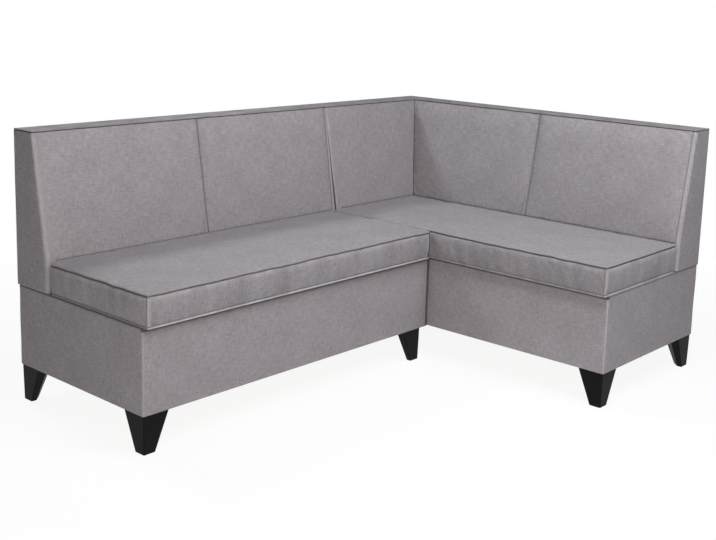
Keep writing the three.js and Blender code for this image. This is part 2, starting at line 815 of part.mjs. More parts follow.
const cornerSeam = cornerLength - outerPanelWidth;
const cornerChest = {
  name: 'corner',
  left: backProud,
  right: cornerLength,
  front: -(chestDepth - chestGap / 2),
  rear: -backProud,
  leftLegInset: legInset,
  rightLegInset: legInset,
  boltedWall: 'front',
  boltDirection: towardsRear,
  boltStart: (place) => new THREE.Vector3(place, -chestDepth, boltHeight),
  seatLeft: backSeatDepth + seatReturnClearance,
  seatRight: cornerLength - seatEndInset,
  backLeft: 0,
  backRight: cornerLength,
  ribLeft: backSeatDepth,
  railLeft: backSeatDepth - leafThickness,
  slopeLeft: backSeatDepth - padThickness,
  padSpans: {
    left: (depth) => [depth + padSeamGap / 2, cornerSeam - padSeamGap / 2],
    right: () => [cornerSeam + padSeamGap / 2, cornerLength - backCoverThickness - fit],
  },
};

// Two bolts clamp the straight chest's right wall to the corner chest's front wall.
function addJoiningBolts(group) {
  const toInnerFace = chestGap / 2 + chestCoverThickness + fit + chestWallThickness + fit;
  const names = ['rear', 'front'];
  boltPlaceShares.forEach((share, index) => {
    const start = new THREE.Vector3(straightLength - toInnerFace, -chestDepth * share, boltHeight);
    const grip = 2 * toInnerFace;
    const bolt = headedPin(boltRadius, boltHeadRadius, boltHeadThickness, grip, start, along);
    addPiece(group, `joining_bolt_${names[index]}`, bolt, darkSteel);
  });
}

function addHinges(group, chest) {
  hingePlaceShares.forEach((share, index) => {
    addHinge(group, chest, index + 1, THREE.MathUtils.lerp(chest.seatLeft, chest.seatRight, share));
  });
}

function buildStraightChest() {
  const group = new THREE.Group();
  group.position.set(-longArm / 2, cornerLength / 2, 0);
  addChest(group, straightChest);
  addSeat(group, straightChest);
  addHinges(group, straightChest);
  addLongBack(group, straightChest);
  addStraightBackCover(group, straightChest);
  addJoiningBolts(group);
  return group;
}

// The corner chest is turned a quarter, so that its front faces the straight chest's right end
// and the open side of the corner.
function buildCornerChest() {
  const group = new THREE.Group();
  group.position.set(longArm / 2, cornerLength / 2, 0);
  group.rotation.z = -Math.PI / 2;
  addChest(group, cornerChest);
  addSeat(group, cornerChest);
  addHinges(group, cornerChest);
  addLongBack(group, cornerChest);
  addReturnBack(group, cornerChest);
  addCornerBackCovers(group, cornerChest);
  return group;
}

const bench = new THREE.Group();
bench.add(buildStraightChest());
bench.add(buildCornerChest());

export default bench;
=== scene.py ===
# %% [markdown]
# An upholstered corner bench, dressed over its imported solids. The boards, hinges and legs keep
# their solids and get a finish. Everything that is cloth on the real bench is made new here:
# cushions, back pads, covers and piping. Each new piece takes its place from the solid that it
# stands for, so it moves with the same body.

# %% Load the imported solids
import math
from itertools import permutations

import bpy
import numpy as np
from mathutils import Matrix, Vector


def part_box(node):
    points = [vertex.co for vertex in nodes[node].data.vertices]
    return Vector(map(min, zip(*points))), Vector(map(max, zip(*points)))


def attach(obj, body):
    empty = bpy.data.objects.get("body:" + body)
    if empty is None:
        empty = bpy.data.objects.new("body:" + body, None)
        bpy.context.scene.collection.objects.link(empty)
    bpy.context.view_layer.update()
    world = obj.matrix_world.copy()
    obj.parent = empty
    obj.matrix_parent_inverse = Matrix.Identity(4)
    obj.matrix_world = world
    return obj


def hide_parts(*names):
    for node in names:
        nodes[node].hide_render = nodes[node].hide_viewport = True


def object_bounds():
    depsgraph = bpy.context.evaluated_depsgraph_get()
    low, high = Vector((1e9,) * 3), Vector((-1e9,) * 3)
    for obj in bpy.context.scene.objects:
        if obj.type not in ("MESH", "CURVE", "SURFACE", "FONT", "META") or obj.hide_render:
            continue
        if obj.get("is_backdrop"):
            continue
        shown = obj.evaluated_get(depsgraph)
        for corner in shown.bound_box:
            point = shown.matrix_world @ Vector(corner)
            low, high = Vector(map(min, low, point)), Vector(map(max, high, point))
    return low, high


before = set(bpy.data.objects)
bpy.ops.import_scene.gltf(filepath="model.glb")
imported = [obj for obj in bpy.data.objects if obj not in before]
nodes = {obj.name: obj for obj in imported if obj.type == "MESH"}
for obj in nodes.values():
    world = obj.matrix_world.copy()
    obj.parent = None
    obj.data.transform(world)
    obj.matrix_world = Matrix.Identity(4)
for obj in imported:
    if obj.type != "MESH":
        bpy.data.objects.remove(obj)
cad_low, cad_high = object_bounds()
scene = bpy.context.scene
MM = 0.001

# %% [markdown]
# The bench's own sizes come first, read from the boxes of its solids. A back leans from the
# seat's level to its top, and every panel, band and seam follows that slope, so it is a
# function of the height. The long wall is the back that runs along X, and the side wall is the
# back that runs along Y.

# %% Sizes of the bench
REAR_Y = cad_high.y
REAR_X = cad_high.x
LEFT_END = cad_low.x
RIGHT_END = cad_low.y
BACK_TOP = cad_high.z
CHEST_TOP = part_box("straight_chest_cover")[1].z
SEAT_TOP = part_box("straight_back_slope")[0].z
JOINT_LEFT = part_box("straight_back_cover")[1].x
JOINT_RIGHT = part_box("corner_return_cover")[0].x
PANEL_SEAM_X = (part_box("straight_back_pad_left")[1].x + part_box("straight_back_pad_right")[0].x) / 2
PANEL_SEAM_Y = (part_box("corner_back_pad_right")[1].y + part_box("corner_back_pad_left")[0].y) / 2
TOP_DEPTH = 100 * MM
SEAT_DEPTH = 170 * MM
BEND_SOFTNESS = 3 * MM
print("back top", round(BACK_TOP, 3), "seat top", round(SEAT_TOP, 3), "chest top", round(CHEST_TOP, 3))


def back_depth(height):
    """Distance of a back's front from its rear: even up to the seat, then straight back to the top.

    The bend is softened: the lean grows as the logarithm of one plus the exponential of the rise.
    """
    rise = BEND_SOFTNESS * np.logaddexp(0, (height - SEAT_TOP) / BEND_SOFTNESS)
    return SEAT_DEPTH - (SEAT_DEPTH - TOP_DEPTH) / (BACK_TOP - SEAT_TOP) * rise


def on_long_wall(along, depth, height):
    """Points of the back along X: depth is measured from its rear face towards the seat."""
    return np.stack([along, REAR_Y - depth, height], -1)


def on_side_wall(along, depth, height):
    """Points of the back along Y, with the same depth and height."""
    return np.stack([REAR_X - depth, along, height], -1)


# %% [markdown]
# The camera stands where the photograph was taken from: to the left of the bench's open corner,
# a little above its back, and turned down slightly. It was found by fitting a camera to points
# of the bench. The photograph was straightened afterwards, which a small vertical shift of the
# lens copies.

# %% Camera
IMAGE_WIDTH = 716
FOCAL_PIXELS = 1109.6
SHIFT_PIXELS = 80
SENSOR_WIDTH = 36
CAMERA_PLACE = (-2.8108, -2.3988, 1.3437)
YAW = math.radians(48.16)
PITCH = math.radians(10.30)
ROLL = math.radians(1.65)


def camera_turn(yaw, pitch, roll):
    """Columns are the camera's right, up and backward: yaw from +Y towards +X, pitch downward, then roll."""
    forward = np.array([math.sin(yaw) * math.cos(pitch), math.cos(yaw) * math.cos(pitch), -math.sin(pitch)])
    right = np.array([math.cos(yaw), -math.sin(yaw), 0])
    up = np.cross(right, forward)
    rolled_right = math.cos(roll) * right + math.sin(roll) * up
    rolled_up = math.cos(roll) * up - math.sin(roll) * right
    return Matrix(np.stack([rolled_right, rolled_up, -forward], 1).tolist())


lens = bpy.data.cameras.new("camera")
lens.sensor_width = SENSOR_WIDTH
lens.lens = SENSOR_WIDTH * FOCAL_PIXELS / IMAGE_WIDTH
lens.shift_y = -SHIFT_PIXELS / IMAGE_WIDTH
camera = bpy.data.objects.new("camera", lens)
camera.matrix_world = Matrix.Translation(CAMERA_PLACE) @ camera_turn(YAW, PITCH, ROLL).to_4x4()
scene.collection.objects.link(camera)
scene.camera = camera
print("lens", round(lens.lens, 2), "mm, shift", round(lens.shift_y, 4))

# %% [markdown]
# Colours are written as the sRGB values that a screen shows, and turned to linear light here.
# One helper adds a shader node with its settings and its links.

# %% Colours and nodes


def linear(code):
    """Linear red, green, blue and alpha of a hex colour.

    A low share is divided by 12.92. Any other has 0.055 added, and the sum over 1.055 is raised to 2.4.
    """
    shares = [int(code[place:place + 2], 16) / 255 for place in (1, 3, 5)]
    return [share / 12.92 if share <= 0.04045 else ((share + 0.055) / 1.055) ** 2.4 for share in shares] + [1]


def add(tree, kind, links=None, values=None, **settings):
    """Adds a node. Settings are its own properties, values fill its sockets, links join sockets to it."""
    node = tree.nodes.new(kind)
    for key, value in settings.items():
        setattr(node, key, value)
    for key, value in (values or {}).items():
        node.inputs[key].default_value = value
    for key, socket in (links or {}).items():
        tree.links.new(socket, node.inputs[key])
    return node


def new_material(name):
    """A material with an empty node tree, its shader and its output."""
    material = bpy.data.materials.new(name)
    material.use_nodes = True
    tree = material.node_tree
    tree.nodes.clear()
    shader = add(tree, "ShaderNodeBsdfPrincipled")
    add(tree, "ShaderNodeOutputMaterial", {"Surface": shader.outputs["BSDF"]})
    return material, tree, shader


def math_node(tree, operation, *values):
    """The output of a Math node whose inputs are sockets or numbers."""
    node = add(tree, "ShaderNodeMath", operation=operation)
    for place, value in enumerate(values):
        if isinstance(value, (int, float)):
            node.inputs[place].default_value = value
        else:
            tree.links.new(value, node.inputs[place])
    return node.outputs[0]


# %% [markdown]
# The cloth is a linen-look polyester: a plain weave of slightly thick and thin yarns, dyed a
# warm grey. Its yarns are under a millimetre apart, too fine to show from here, so the weave is
# drawn 1.8 mm apart. What the eye sees from a distance is the heather: short darker and paler
# slubs along both directions of the yarn, and very soft clouds of tone. The pattern follows
# each piece's own cloth coordinates, in metres, so that it turns with the panel as cut cloth
# does. A little sheen gives the pale rim that short fibres have. A mark kept on each point
# paints light and shade into the colour. Above zero it darkens the cloth, a painted shade where
# a seam pulls it in, in gaps and under edges. Below zero it makes the cloth paler, a painted
# highlight on folds, rolls, corners and the piping. The seats' tops have a mix of their own of
# the same three yarns, a little darker: a painted shade on the tops.

# %% Woven cloth
WEAVE = 1.8 * MM
YARN_RELIEF = 0.35 * MM
# Each kind of slub: its width, its length and its weight in the tone.
SLUBS = ((1.9 * MM, 17 * MM, 0.22), (3.8 * MM, 30 * MM, 0.28))
# Each kind of cloud: its size, its detail and its weight in the tone.
CLOUDS = ((16 * MM, 2, 0.14), (120 * MM, 1, 0.14))
# Where the dark, the middle and the pale yarn lie among the tones.
YARN_PLACES = (0.50, 0.64, 0.78)
# The painted shade that a mark above zero turns the cloth to, the painted highlight that one
# below zero turns it to, and the share of each at a mark of one.
SHADE_AND_HIGHLIGHT_TONES = ((1, linear("#39383a"), 0.9), (-1, linear("#d4d1d3"), 0.7))


def stretched_noise(tree, coordinates, across, along, detail):
    """Noise whose spots measure across by along."""
    scaled = add(tree, "ShaderNodeMapping", {"Vector": coordinates}, {"Scale": (1 / across, 1 / along, 1)})
    noise = add(tree, "ShaderNodeTexNoise", {"Vector": scaled.outputs[0]}, {"Scale": 1, "Detail": detail})
    return noise.outputs["Fac"]


def set_stops(ramp, places, codes):
    """Puts the colours of a ramp at their places, and gives the ramp's colour."""
    stops = ramp.color_ramp.elements
    for place in places[1:-1]:
        stops.new(place)
    for stop, place, code in zip(stops, places, codes):
        stop.position = place
        stop.color = linear(code)
    return ramp.outputs["Color"]


def woven_cloth(name, dark, middle, pale):
    """Cloth of three yarn tones: slubs and clouds of noise choose the tone, a product of sines the relief."""
    material, tree, shader = new_material(name)
    cloth = add(tree, "ShaderNodeUVMap", uv_map="cloth").outputs[0]
    slubs = 0.0
    for across, along, weight in SLUBS:
        for size in ((across, along), (along, across)):
            spots = stretched_noise(tree, cloth, *size, 1)
            slubs = math_node(tree, "ADD", math_node(tree, "MULTIPLY", spots, weight), slubs)
    tone = slubs
    for size, detail, weight in CLOUDS:
        spots = stretched_noise(tree, cloth, size, size, detail)
        tone = math_node(tree, "ADD", math_node(tree, "MULTIPLY", spots, weight), tone)
    colour = set_stops(add(tree, "ShaderNodeValToRGB", {"Fac": tone}), YARN_PLACES, (dark, middle, pale))
    # The mark paints shade where it is above zero and highlights where it is below.
    mark = add(tree, "ShaderNodeAttribute", attribute_name="mark").outputs["Fac"]
    for sign, other, most in SHADE_AND_HIGHLIGHT_TONES:
        signed = math_node(tree, "MAXIMUM", math_node(tree, "MULTIPLY", mark, sign), 0)
        share = math_node(tree, "MULTIPLY", signed, most)
        mixed = add(tree, "ShaderNodeMix", {"Factor": share, "A": colour}, {"B": other}, data_type="RGBA")
        colour = mixed.outputs["Result"]
    tree.links.new(colour, shader.inputs["Base Color"])
    split = add(tree, "ShaderNodeSeparateXYZ", {"Vector": cloth})
    yarns = []
    for axis in "XY":
        turns = math_node(tree, "MULTIPLY", split.outputs[axis], math.pi / WEAVE)
        yarns.append(math_node(tree, "SINE", turns))
    weave = math_node(tree, "ABSOLUTE", math_node(tree, "MULTIPLY", *yarns))
    height = math_node(tree, "MULTIPLY", weave, slubs)
    bump = add(tree, "ShaderNodeBump", {"Height": height}, {"Strength": 0.35, "Distance": YARN_RELIEF})
    tree.links.new(bump.outputs["Normal"], shader.inputs["Normal"])
    shader.inputs["Roughness"].default_value = 0.95
    shader.inputs["Specular IOR Level"].default_value = 0.1
    shader.inputs["Sheen Weight"].default_value = 0.10
    shader.inputs["Sheen Roughness"].default_value = 0.4
    return material


cover_cloth = woven_cloth("linen_look_polyester_cover", "#857f82", "#948e91", "#a29c9f")
# The seats' tops get a slightly darker copy of the cover cloth: a painted shade on the lit tops.
seat_cloth = woven_cloth("linen_look_polyester_seat", "#7f7a7c", "#8e898b", "#9b9698")
print("cloth:", cover_cloth.name, seat_cloth.name)

# %% [markdown]
# The hidden structure shows when a seat is lifted. The boards are birch plywood, whose faces
# show long grain and whose edges show thin plies. The rail is planed beech. The hinges and
# bolts are pressed steel with a dark zinc finish. The legs are beech stained black under a
# dull satin lacquer, so they show little shine, and their grain only as a faint relief.

# %% Wood and steel
PLY = 1.5 * MM
GRAIN = 3 * MM
FINE_GRAIN = 1.6 * MM
ROLLING_MARKS = 1.2 * MM
GRAIN_RUN = 160 * MM
FACE_RELIEF = 0.3 * MM
PLANED_RELIEF = 0.25 * MM
# How much smoother and how much rougher than its mean planed wood gets.
ROUGHNESS_SPREAD = (0.06, 0.08)
AXES = {"x": (1, 0, 0), "y": (0, 1, 0), "z": (0, 0, 1)}
DARK_PLY = linear("#8f6a42")


def grain_noise(tree, run, across=GRAIN, detail=4):
    """Noise on object coordinates whose spots are long along one axis, as wood's grain is."""
    place = add(tree, "ShaderNodeTexCoord").outputs["Object"]
    scale = [1 / (GRAIN_RUN if axis == run else across) for axis in "xyz"]
    scaled = add(tree, "ShaderNodeMapping", {"Vector": place}, {"Scale": scale})
    noise = add(tree, "ShaderNodeTexNoise", {"Vector": scaled.outputs[0]}, {"Scale": 1, "Detail": detail})
    return noise.outputs["Fac"], place


def plywood(through, run):
    """Birch plywood whose plies lie through one axis and whose face grain runs along another."""
    material, tree, shader = new_material(f"birch_plywood_{through}_{run}")
    grain, place = grain_noise(tree, run)
    face = set_stops(add(tree, "ShaderNodeValToRGB", {"Fac": grain}), (0.3, 0.7), ("#b48f60", "#d8bb8e"))
    normal = add(tree, "ShaderNodeNewGeometry").outputs["Normal"]
    axis = {1: AXES[through]}
    facing = add(tree, "ShaderNodeVectorMath", {0: normal}, axis, operation="DOT_PRODUCT").outputs["Value"]
    level = add(tree, "ShaderNodeVectorMath", {0: place}, axis, operation="DOT_PRODUCT").outputs["Value"]
    on_edge = math_node(tree, "LESS_THAN", math_node(tree, "ABSOLUTE", facing), 0.5)
    plies = math_node(tree, "SINE", math_node(tree, "MULTIPLY", level, math.pi / PLY))
    dark_ply = math_node(tree, "MULTIPLY", math_node(tree, "GREATER_THAN", plies, 0), on_edge)
    mixed = add(tree, "ShaderNodeMix", {"Factor": dark_ply, "A": face}, {"B": DARK_PLY}, data_type="RGBA")
    tree.links.new(mixed.outputs["Result"], shader.inputs["Base Color"])
    bump = add(tree, "ShaderNodeBump", {"Height": grain}, {"Strength": 0.2, "Distance": FACE_RELIEF})
    tree.links.new(bump.outputs["Normal"], shader.inputs["Normal"])
    shader.inputs["Roughness"].default_value = 0.62
    return material


def solid_wood(name, run, dark, pale, roughness, relief, shine):
    """Planed wood: two tones along the grain, with a relief and a shine of stated weights."""
    material, tree, shader = new_material(name)
    grain, _ = grain_noise(tree, run, FINE_GRAIN)
    colour = set_stops(add(tree, "ShaderNodeValToRGB", {"Fac": grain}), (0.35, 0.65), (dark, pale))
    tree.links.new(colour, shader.inputs["Base Color"])
    limits = {"To Min": roughness - ROUGHNESS_SPREAD[0], "To Max": roughness + ROUGHNESS_SPREAD[1]}
    rough = add(tree, "ShaderNodeMapRange", {"Value": grain}, limits)
    tree.links.new(rough.outputs["Result"], shader.inputs["Roughness"])
    bump = add(tree, "ShaderNodeBump", {"Height": grain}, {"Strength": relief, "Distance": PLANED_RELIEF})
    tree.links.new(bump.outputs["Normal"], shader.inputs["Normal"])
    shader.inputs["Specular IOR Level"].default_value = shine
    return material


def pressed_steel():
    """Pressed steel strip, zinc plated dark: fine rolling marks vary its roughness."""
    material, tree, shader = new_material("dark_zinc_plated_steel")
    marks, _ = grain_noise(tree, "z", ROLLING_MARKS)
    colour = set_stops(add(tree, "ShaderNodeValToRGB", {"Fac": marks}), (0, 1), ("#4a4b4e", "#6d6e71"))
    tree.links.new(colour, shader.inputs["Base Color"])
    rough = add(tree, "ShaderNodeMapRange", {"Value": marks}, {"To Min": 0.32, "To Max": 0.5})
    tree.links.new(rough.outputs["Result"], shader.inputs["Roughness"])
    shader.inputs["Metallic"].default_value = 0.95
    return material


black_leg = solid_wood("black_stained_beech_satin", "z", "#0c0c0c", "#131313", 0.5, 0.25, 0.08)
beech = {run: solid_wood(f"planed_beech_{run}", run, "#b98d5d", "#d6b083", 0.55, 0.2, 0.5) for run in "xy"}
steel = pressed_steel()
board_finish = {axes: plywood(*axes) for axes in permutations("xyz", 2)}
print("board finishes:", len(board_finish))

# %% [markdown]
# Every solid that stays in view gets its finish. A board's thinnest side tells which way its
# plies lie, and its longest side which way its grain runs.

# %% Finish the solids that stay


def board_axes(node):
    """The axis through a board, along its shortest side, and the axis along its longest side."""
    low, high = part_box(node)
    sides = sorted("xyz", key=lambda axis: high["xyz".index(axis)] - low["xyz".index(axis)])
    return sides[0], sides[-1]


def finish_of(node):
    """The finish that a solid's name calls for, or none where new cloth will stand for it."""
    if "_leg_" in node:
        return black_leg
    if "leaf" in node or "strap" in node or "pin" in node or "bolt" in node:
        return steel
    if node.endswith("rail"):
        return beech[board_axes(node)[1]]
    if node.endswith(("cover", "cushion")) or "_pad" in node:
        return None
    through, run = board_axes(node)
    return board_finish[("y" if run == "x" else "x", run) if node.endswith("slope") else (through, run)]


for name, solid in nodes.items():
    finish = finish_of(name)
    if finish is not None:
        solid.data.materials.clear()
        solid.data.materials.append(finish)
print("finished solids:", sum(finish_of(name) is not None for name in nodes))

# %% [markdown]
# A surface here is a grid of points, worked out as whole arrays. These helpers turn grids into
# faces that share their border points, keep a pair of cloth coordinates for each corner of each
# face, and turn the mesh the right way out by its volume.

# %% Grids, faces and cloth coordinates


def grid_faces(grid):
    """Four-cornered faces between neighbours of a grid, with any number of values at each place."""
    corners = np.stack([grid[:-1, :-1], grid[1:, :-1], grid[1:, 1:], grid[:-1, 1:]], 2)
    return corners.reshape((-1, 4) + grid.shape[2:])


def border_of(rows, columns):
    """Numbers of a grid's border points, in order round it from its first corner."""
    index = np.arange(rows * columns).reshape(rows, columns)
    return np.concatenate([index[:-1, 0], index[-1, :-1], index[:0:-1, -1], index[0, :0:-1]])


def lengths_along(points):
    """Distance travelled along a row of points, starting at zero."""
    steps = np.linalg.norm(np.diff(points, axis=0), axis=1)
    return np.concatenate([[0], np.cumsum(steps)])


def volume_of(points, quads):
    """Signed volume inside closed faces: a sixth of the sum of each triangle's box product."""
    first, second, third, fourth = (points[quads[:, corner]] for corner in range(4))
    near = np.einsum("ij,ij->i", first, np.cross(second, third))
    far = np.einsum("ij,ij->i", first, np.cross(third, fourth))
    return (near + far).sum() / 6


def cloth_piece(name, points, quads, coordinates, material, mark):
    """A smooth mesh object at the origin: faces turned outwards, cloth coordinates, and each point's mark.

    A mark above zero darkens the cloth, a painted shade as in a seam, and one below zero makes it
    paler, a painted highlight as on a fold.
    """
    if volume_of(points, quads) < 0:
        quads, coordinates = quads[:, ::-1], coordinates[:, ::-1]
    mesh = bpy.data.meshes.new(name)
    mesh.from_pydata(points.tolist(), [], quads.tolist())
    layer = mesh.uv_layers.new(name="cloth")
    layer.data.foreach_set("uv", np.ascontiguousarray(coordinates, np.float32).ravel())
    mesh.polygons.foreach_set("use_smooth", np.ones(len(quads), bool))
    mesh.attributes.new("mark", "FLOAT", "POINT").data.foreach_set("value", mark.astype(np.float32))
    mesh.materials.append(material)
    piece = bpy.data.objects.new(name, mesh)
    scene.collection.objects.link(piece)
    return piece


# %% [markdown]
# A cushion, a back pad, a top band and a rear cloth are all one kind of form: a box with round
# corners whose face may be crowned, whose rim is shaped by a profile, and whose sides may
# bulge. The face is a grid over the box's plan. Near a corner its square cells are bent onto
# circles, so the rim stays round and even. The grid is finest near the rim, where a seam needs
# it.

# %% Places, hills and lines
RIM_PLACES = np.array([0, 0.7, 1.5, 2.4, 3.3, 4.2, 5.4, 7, 9.5, 13, 18, 25]) * MM


def near_and_even(length, step):
    """Places along a line that are close together near its start, then about one step apart."""
    near = RIM_PLACES[RIM_PLACES < length / 3]
    count = max(int(round((length - near[-1]) / step)), 2)
    return np.concatenate([near, np.linspace(near[-1], length, count + 1)[1:]])


def stations(length, step):
    """Places along a side: close together near both ends, evenly spaced about one step apart between them."""
    half = near_and_even(length / 2, step)
    return np.concatenate([half, length - half[-2::-1]])


def hill(place, length, reach):
    """One on the middle of a side, falling to zero at its ends along a parabola of stated reach."""
    share = np.clip(np.minimum(place, length - place) / reach, 0, 1)
    return 1 - (1 - share) ** 2


def smooth_step(value):
    """Zero below zero, one above one, and a smooth rise between: three squares less two cubes."""
    share = np.clip(value, 0, 1)
    return share * share * (3 - 2 * share)


def line_mask(distance, width):
    """One within half a width of a line, falling smoothly to zero at a full width."""
    return smooth_step(2 - 2 * np.abs(distance) / width)


def nearest_side(across, deep, width, depth):
    """Distance to the nearest of a plan's four sides."""
    return np.minimum(np.minimum(across, width - across), np.minimum(deep, depth - deep))


print("rim places:", len(RIM_PLACES))

# %% [markdown]
# The form itself has a grid over its plan for the face, another for the base, and rows of points
# between them for the sides. All three share their border points.

# %% The padded form


def round_corners(across, deep, width, depth, radius):
    """Bends the square cells of each corner onto circles round its centre, and gives the outward way too."""
    centre_a = np.clip(across, radius, width - radius)
    centre_d = np.clip(deep, radius, depth - radius)
    past_a, past_d = across - centre_a, deep - centre_d
    far, near = np.maximum(abs(past_a), abs(past_d)), np.minimum(abs(past_a), abs(past_d))
    angle = near / np.where(far > 0, far, 1) * math.pi / 4
    more, less = far * np.cos(angle), far * np.sin(angle)
    more_across = abs(past_a) >= abs(past_d)
    out_a = np.sign(past_a) * np.where(more_across, more, less)
    out_d = np.sign(past_d) * np.where(more_across, less, more)
    return centre_a + out_a, centre_d + out_d, np.stack([out_a, out_d], -1) / radius


def padded_form(width, depth, radius, step, face_height, levels, side_offset, base_height):
    """A closed box with a shaped face, shaped sides and a shaped base, in its own plan.

    The face lies at face_height(across, deep), the base at base_height(across, deep). Between
    them the sides run through rows at the levels, shares of the way up, each moved outward by
    side_offset(across, deep, share). Gives points, faces, cloth coordinates, and for every point
    its plan place and share: the face has share 1 and the base share 0.
    """
    across, deep = stations(width, step), stations(depth, step)
    grid_a, grid_d = np.meshgrid(across, deep, indexing="ij")
    plan_a, plan_d, outward = round_corners(grid_a, grid_d, width, depth, radius)
    face_z, base_z = face_height(grid_a, grid_d), base_height(grid_a, grid_d)
    border = border_of(*grid_a.shape)
    flat_a, flat_d = grid_a.ravel()[border], grid_d.ravel()[border]
    edge = np.stack([plan_a, plan_d], -1).reshape(-1, 2)[border]
    way = outward.reshape(-1, 2)[border]
    share = np.asarray(levels)[:, None] + 0 * flat_a
    low, high = base_z.ravel()[border], face_z.ravel()[border]
    offset = side_offset(flat_a + 0 * share, flat_d + 0 * share, share)
    side_z = low + (high - low) * share
    side = np.concatenate([edge + way * offset[..., None], side_z[..., None]], 2)
    points = np.concatenate([
        np.stack([plan_a, plan_d, face_z], -1).reshape(-1, 3), side.reshape(-1, 3),
        np.stack([plan_a, plan_d, base_z], -1).reshape(-1, 3),
    ])
    index = np.arange(grid_a.size).reshape(grid_a.shape)
    side_index = grid_a.size + np.arange(share.size).reshape(share.shape)
    base_first = grid_a.size + share.size
    wall = np.concatenate([border[None], side_index, (base_first + border)[None]])
    wall = np.concatenate([wall, wall[:, :1]], 1)
    quads = np.concatenate([grid_faces(index), grid_faces(wall), grid_faces(base_first + index)[:, ::-1]])
    plan = np.stack([grid_a, grid_d], -1)
    round_edge = lengths_along(np.concatenate([edge, edge[:1]]))
    up = np.concatenate([[1], levels, [0]]) * (high - low).max()
    wall_plan = np.stack(np.meshgrid(up, round_edge, indexing="ij")[::-1], -1)
    coordinates = np.concatenate([grid_faces(plan), grid_faces(wall_plan), grid_faces(plan)[:, ::-1]])
    face_ones = np.ones(grid_a.size)
    place_a = np.concatenate([grid_a.ravel(), np.tile(flat_a, len(levels)), grid_a.ravel()])
    place_d = np.concatenate([grid_d.ravel(), np.tile(flat_d, len(levels)), grid_d.ravel()])
    places = np.concatenate([face_ones, share.ravel(), 0 * face_ones])
    return points, quads, coordinates, place_a, place_d, places


# %% [markdown]
# Cloth on foam is never quite even. Where a seam holds it, the foam pushes it out in small soft
# puckers that run away from the seam and fade. A sum of a few sine waves of unlike length and
# direction gives such a ripple without chance, so every run is the same.

# %% Ripples
# Each wave: its length, the way it runs along and the turn it starts at.
RIPPLE_WAVES = (
    (31 * MM, (1.0, 0.2, 0.3), 0.4), (19 * MM, (0.3, 1.0, -0.2), 1.9),
    (43 * MM, (-0.6, 0.5, 1.0), 3.1), (13.5 * MM, (0.9, -0.7, 0.4), 4.4),
    (71 * MM, (0.2, 0.4, -0.9), 5.2), (24 * MM, (-0.4, -0.8, 0.6), 0.9),
)
# Brings the mean of the waves, which seldom agree, up to about one.
RIPPLE_GAIN = 1.6


def ripple(points, stretch=1.0):
    """A value near -1 to 1 at each point: the mean of sine waves that run along unlike directions."""
    total = np.zeros(points.shape[:-1])
    for wave, way, start in RIPPLE_WAVES:
        direction = np.array(way) / np.linalg.norm(way)
        total += np.sin(points @ direction * (2 * math.pi / (wave * stretch)) + start)
    return total / len(RIPPLE_WAVES) * RIPPLE_GAIN


def normals_of(points, quads):
    """Unit normals at the points: the sum of the cross products of each face's diagonals."""
    cross = np.cross(points[quads[:, 2]] - points[quads[:, 0]], points[quads[:, 3]] - points[quads[:, 1]])
    total = np.zeros_like(points)
    for corner in range(4):
        np.add.at(total, quads[:, corner], cross)
    return total / np.maximum(np.linalg.norm(total, axis=1, keepdims=True), 1e-12)


print("ripple waves:", len(RIPPLE_WAVES))

# %% [markdown]
# The foam pushes against its cover, and a cover that is cut a little large settles into soft
# hollows. Blender's cloth does that: each piece is held at its seams and blown up slightly from
# inside, all pieces together, for twenty frames. The move of each point is then softened, so
# that no point goes further than its place allows, and the puckers beside the seams are added.
# Near a hinge line a point may move very little, so that an opened seat clears the back.

# %% Let the covers settle
SIM_FRAMES = 20
# The share of a place's full move that stays next to a hinge line.
FIRM_SHARE = 0.1
# The share of a pucker that stays far from its seam.
FAR_PUCKER_SHARE = 0.15
# A pucker rises from its seam to its full height over its reach divided by this.
PUCKER_RISE = 3
waiting = []


def hold_for_simulation(piece, held, away, pressure, limit, ease, pucker, reach):
    """Puts cloth on a piece. Held points stay, the rest is pushed outward; ease cuts the cloth larger.

    Away is each point's distance from its seam, and limit the furthest that each may move. The
    puckers have that height and that reach.
    """
    group = piece.vertex_groups.new(name="held")
    group.add(np.flatnonzero(held).tolist(), 1.0, "REPLACE")
    cloth = piece.modifiers.new("cloth", "CLOTH")
    settings = cloth.settings
    settings.quality = 5
    settings.mass = 0.3
    settings.tension_stiffness = settings.compression_stiffness = 18
    settings.shear_stiffness = 6
    settings.bending_stiffness = 0.6
    settings.use_pressure = True
    settings.uniform_pressure_force = pressure
    settings.shrink_min = -ease
    settings.vertex_group_mass = "held"
    settings.effector_weights.gravity = 0
    cloth.collision_settings.use_collision = False
    cloth.collision_settings.use_self_collision = False
    waiting.append((piece, held, away, limit, pucker, reach))


def points_of(mesh):
    """All points of a mesh as an array."""
    flat = np.zeros(len(mesh.vertices) * 3, np.float32)
    mesh.vertices.foreach_get("co", flat)
    return flat.reshape(-1, 3).astype(float)


def quads_of(mesh):
    """The faces of an all-quad mesh as an array."""
    flat = np.zeros(len(mesh.loops), np.int32)
    mesh.loops.foreach_get("vertex_index", flat)
    return flat.reshape(-1, 4)


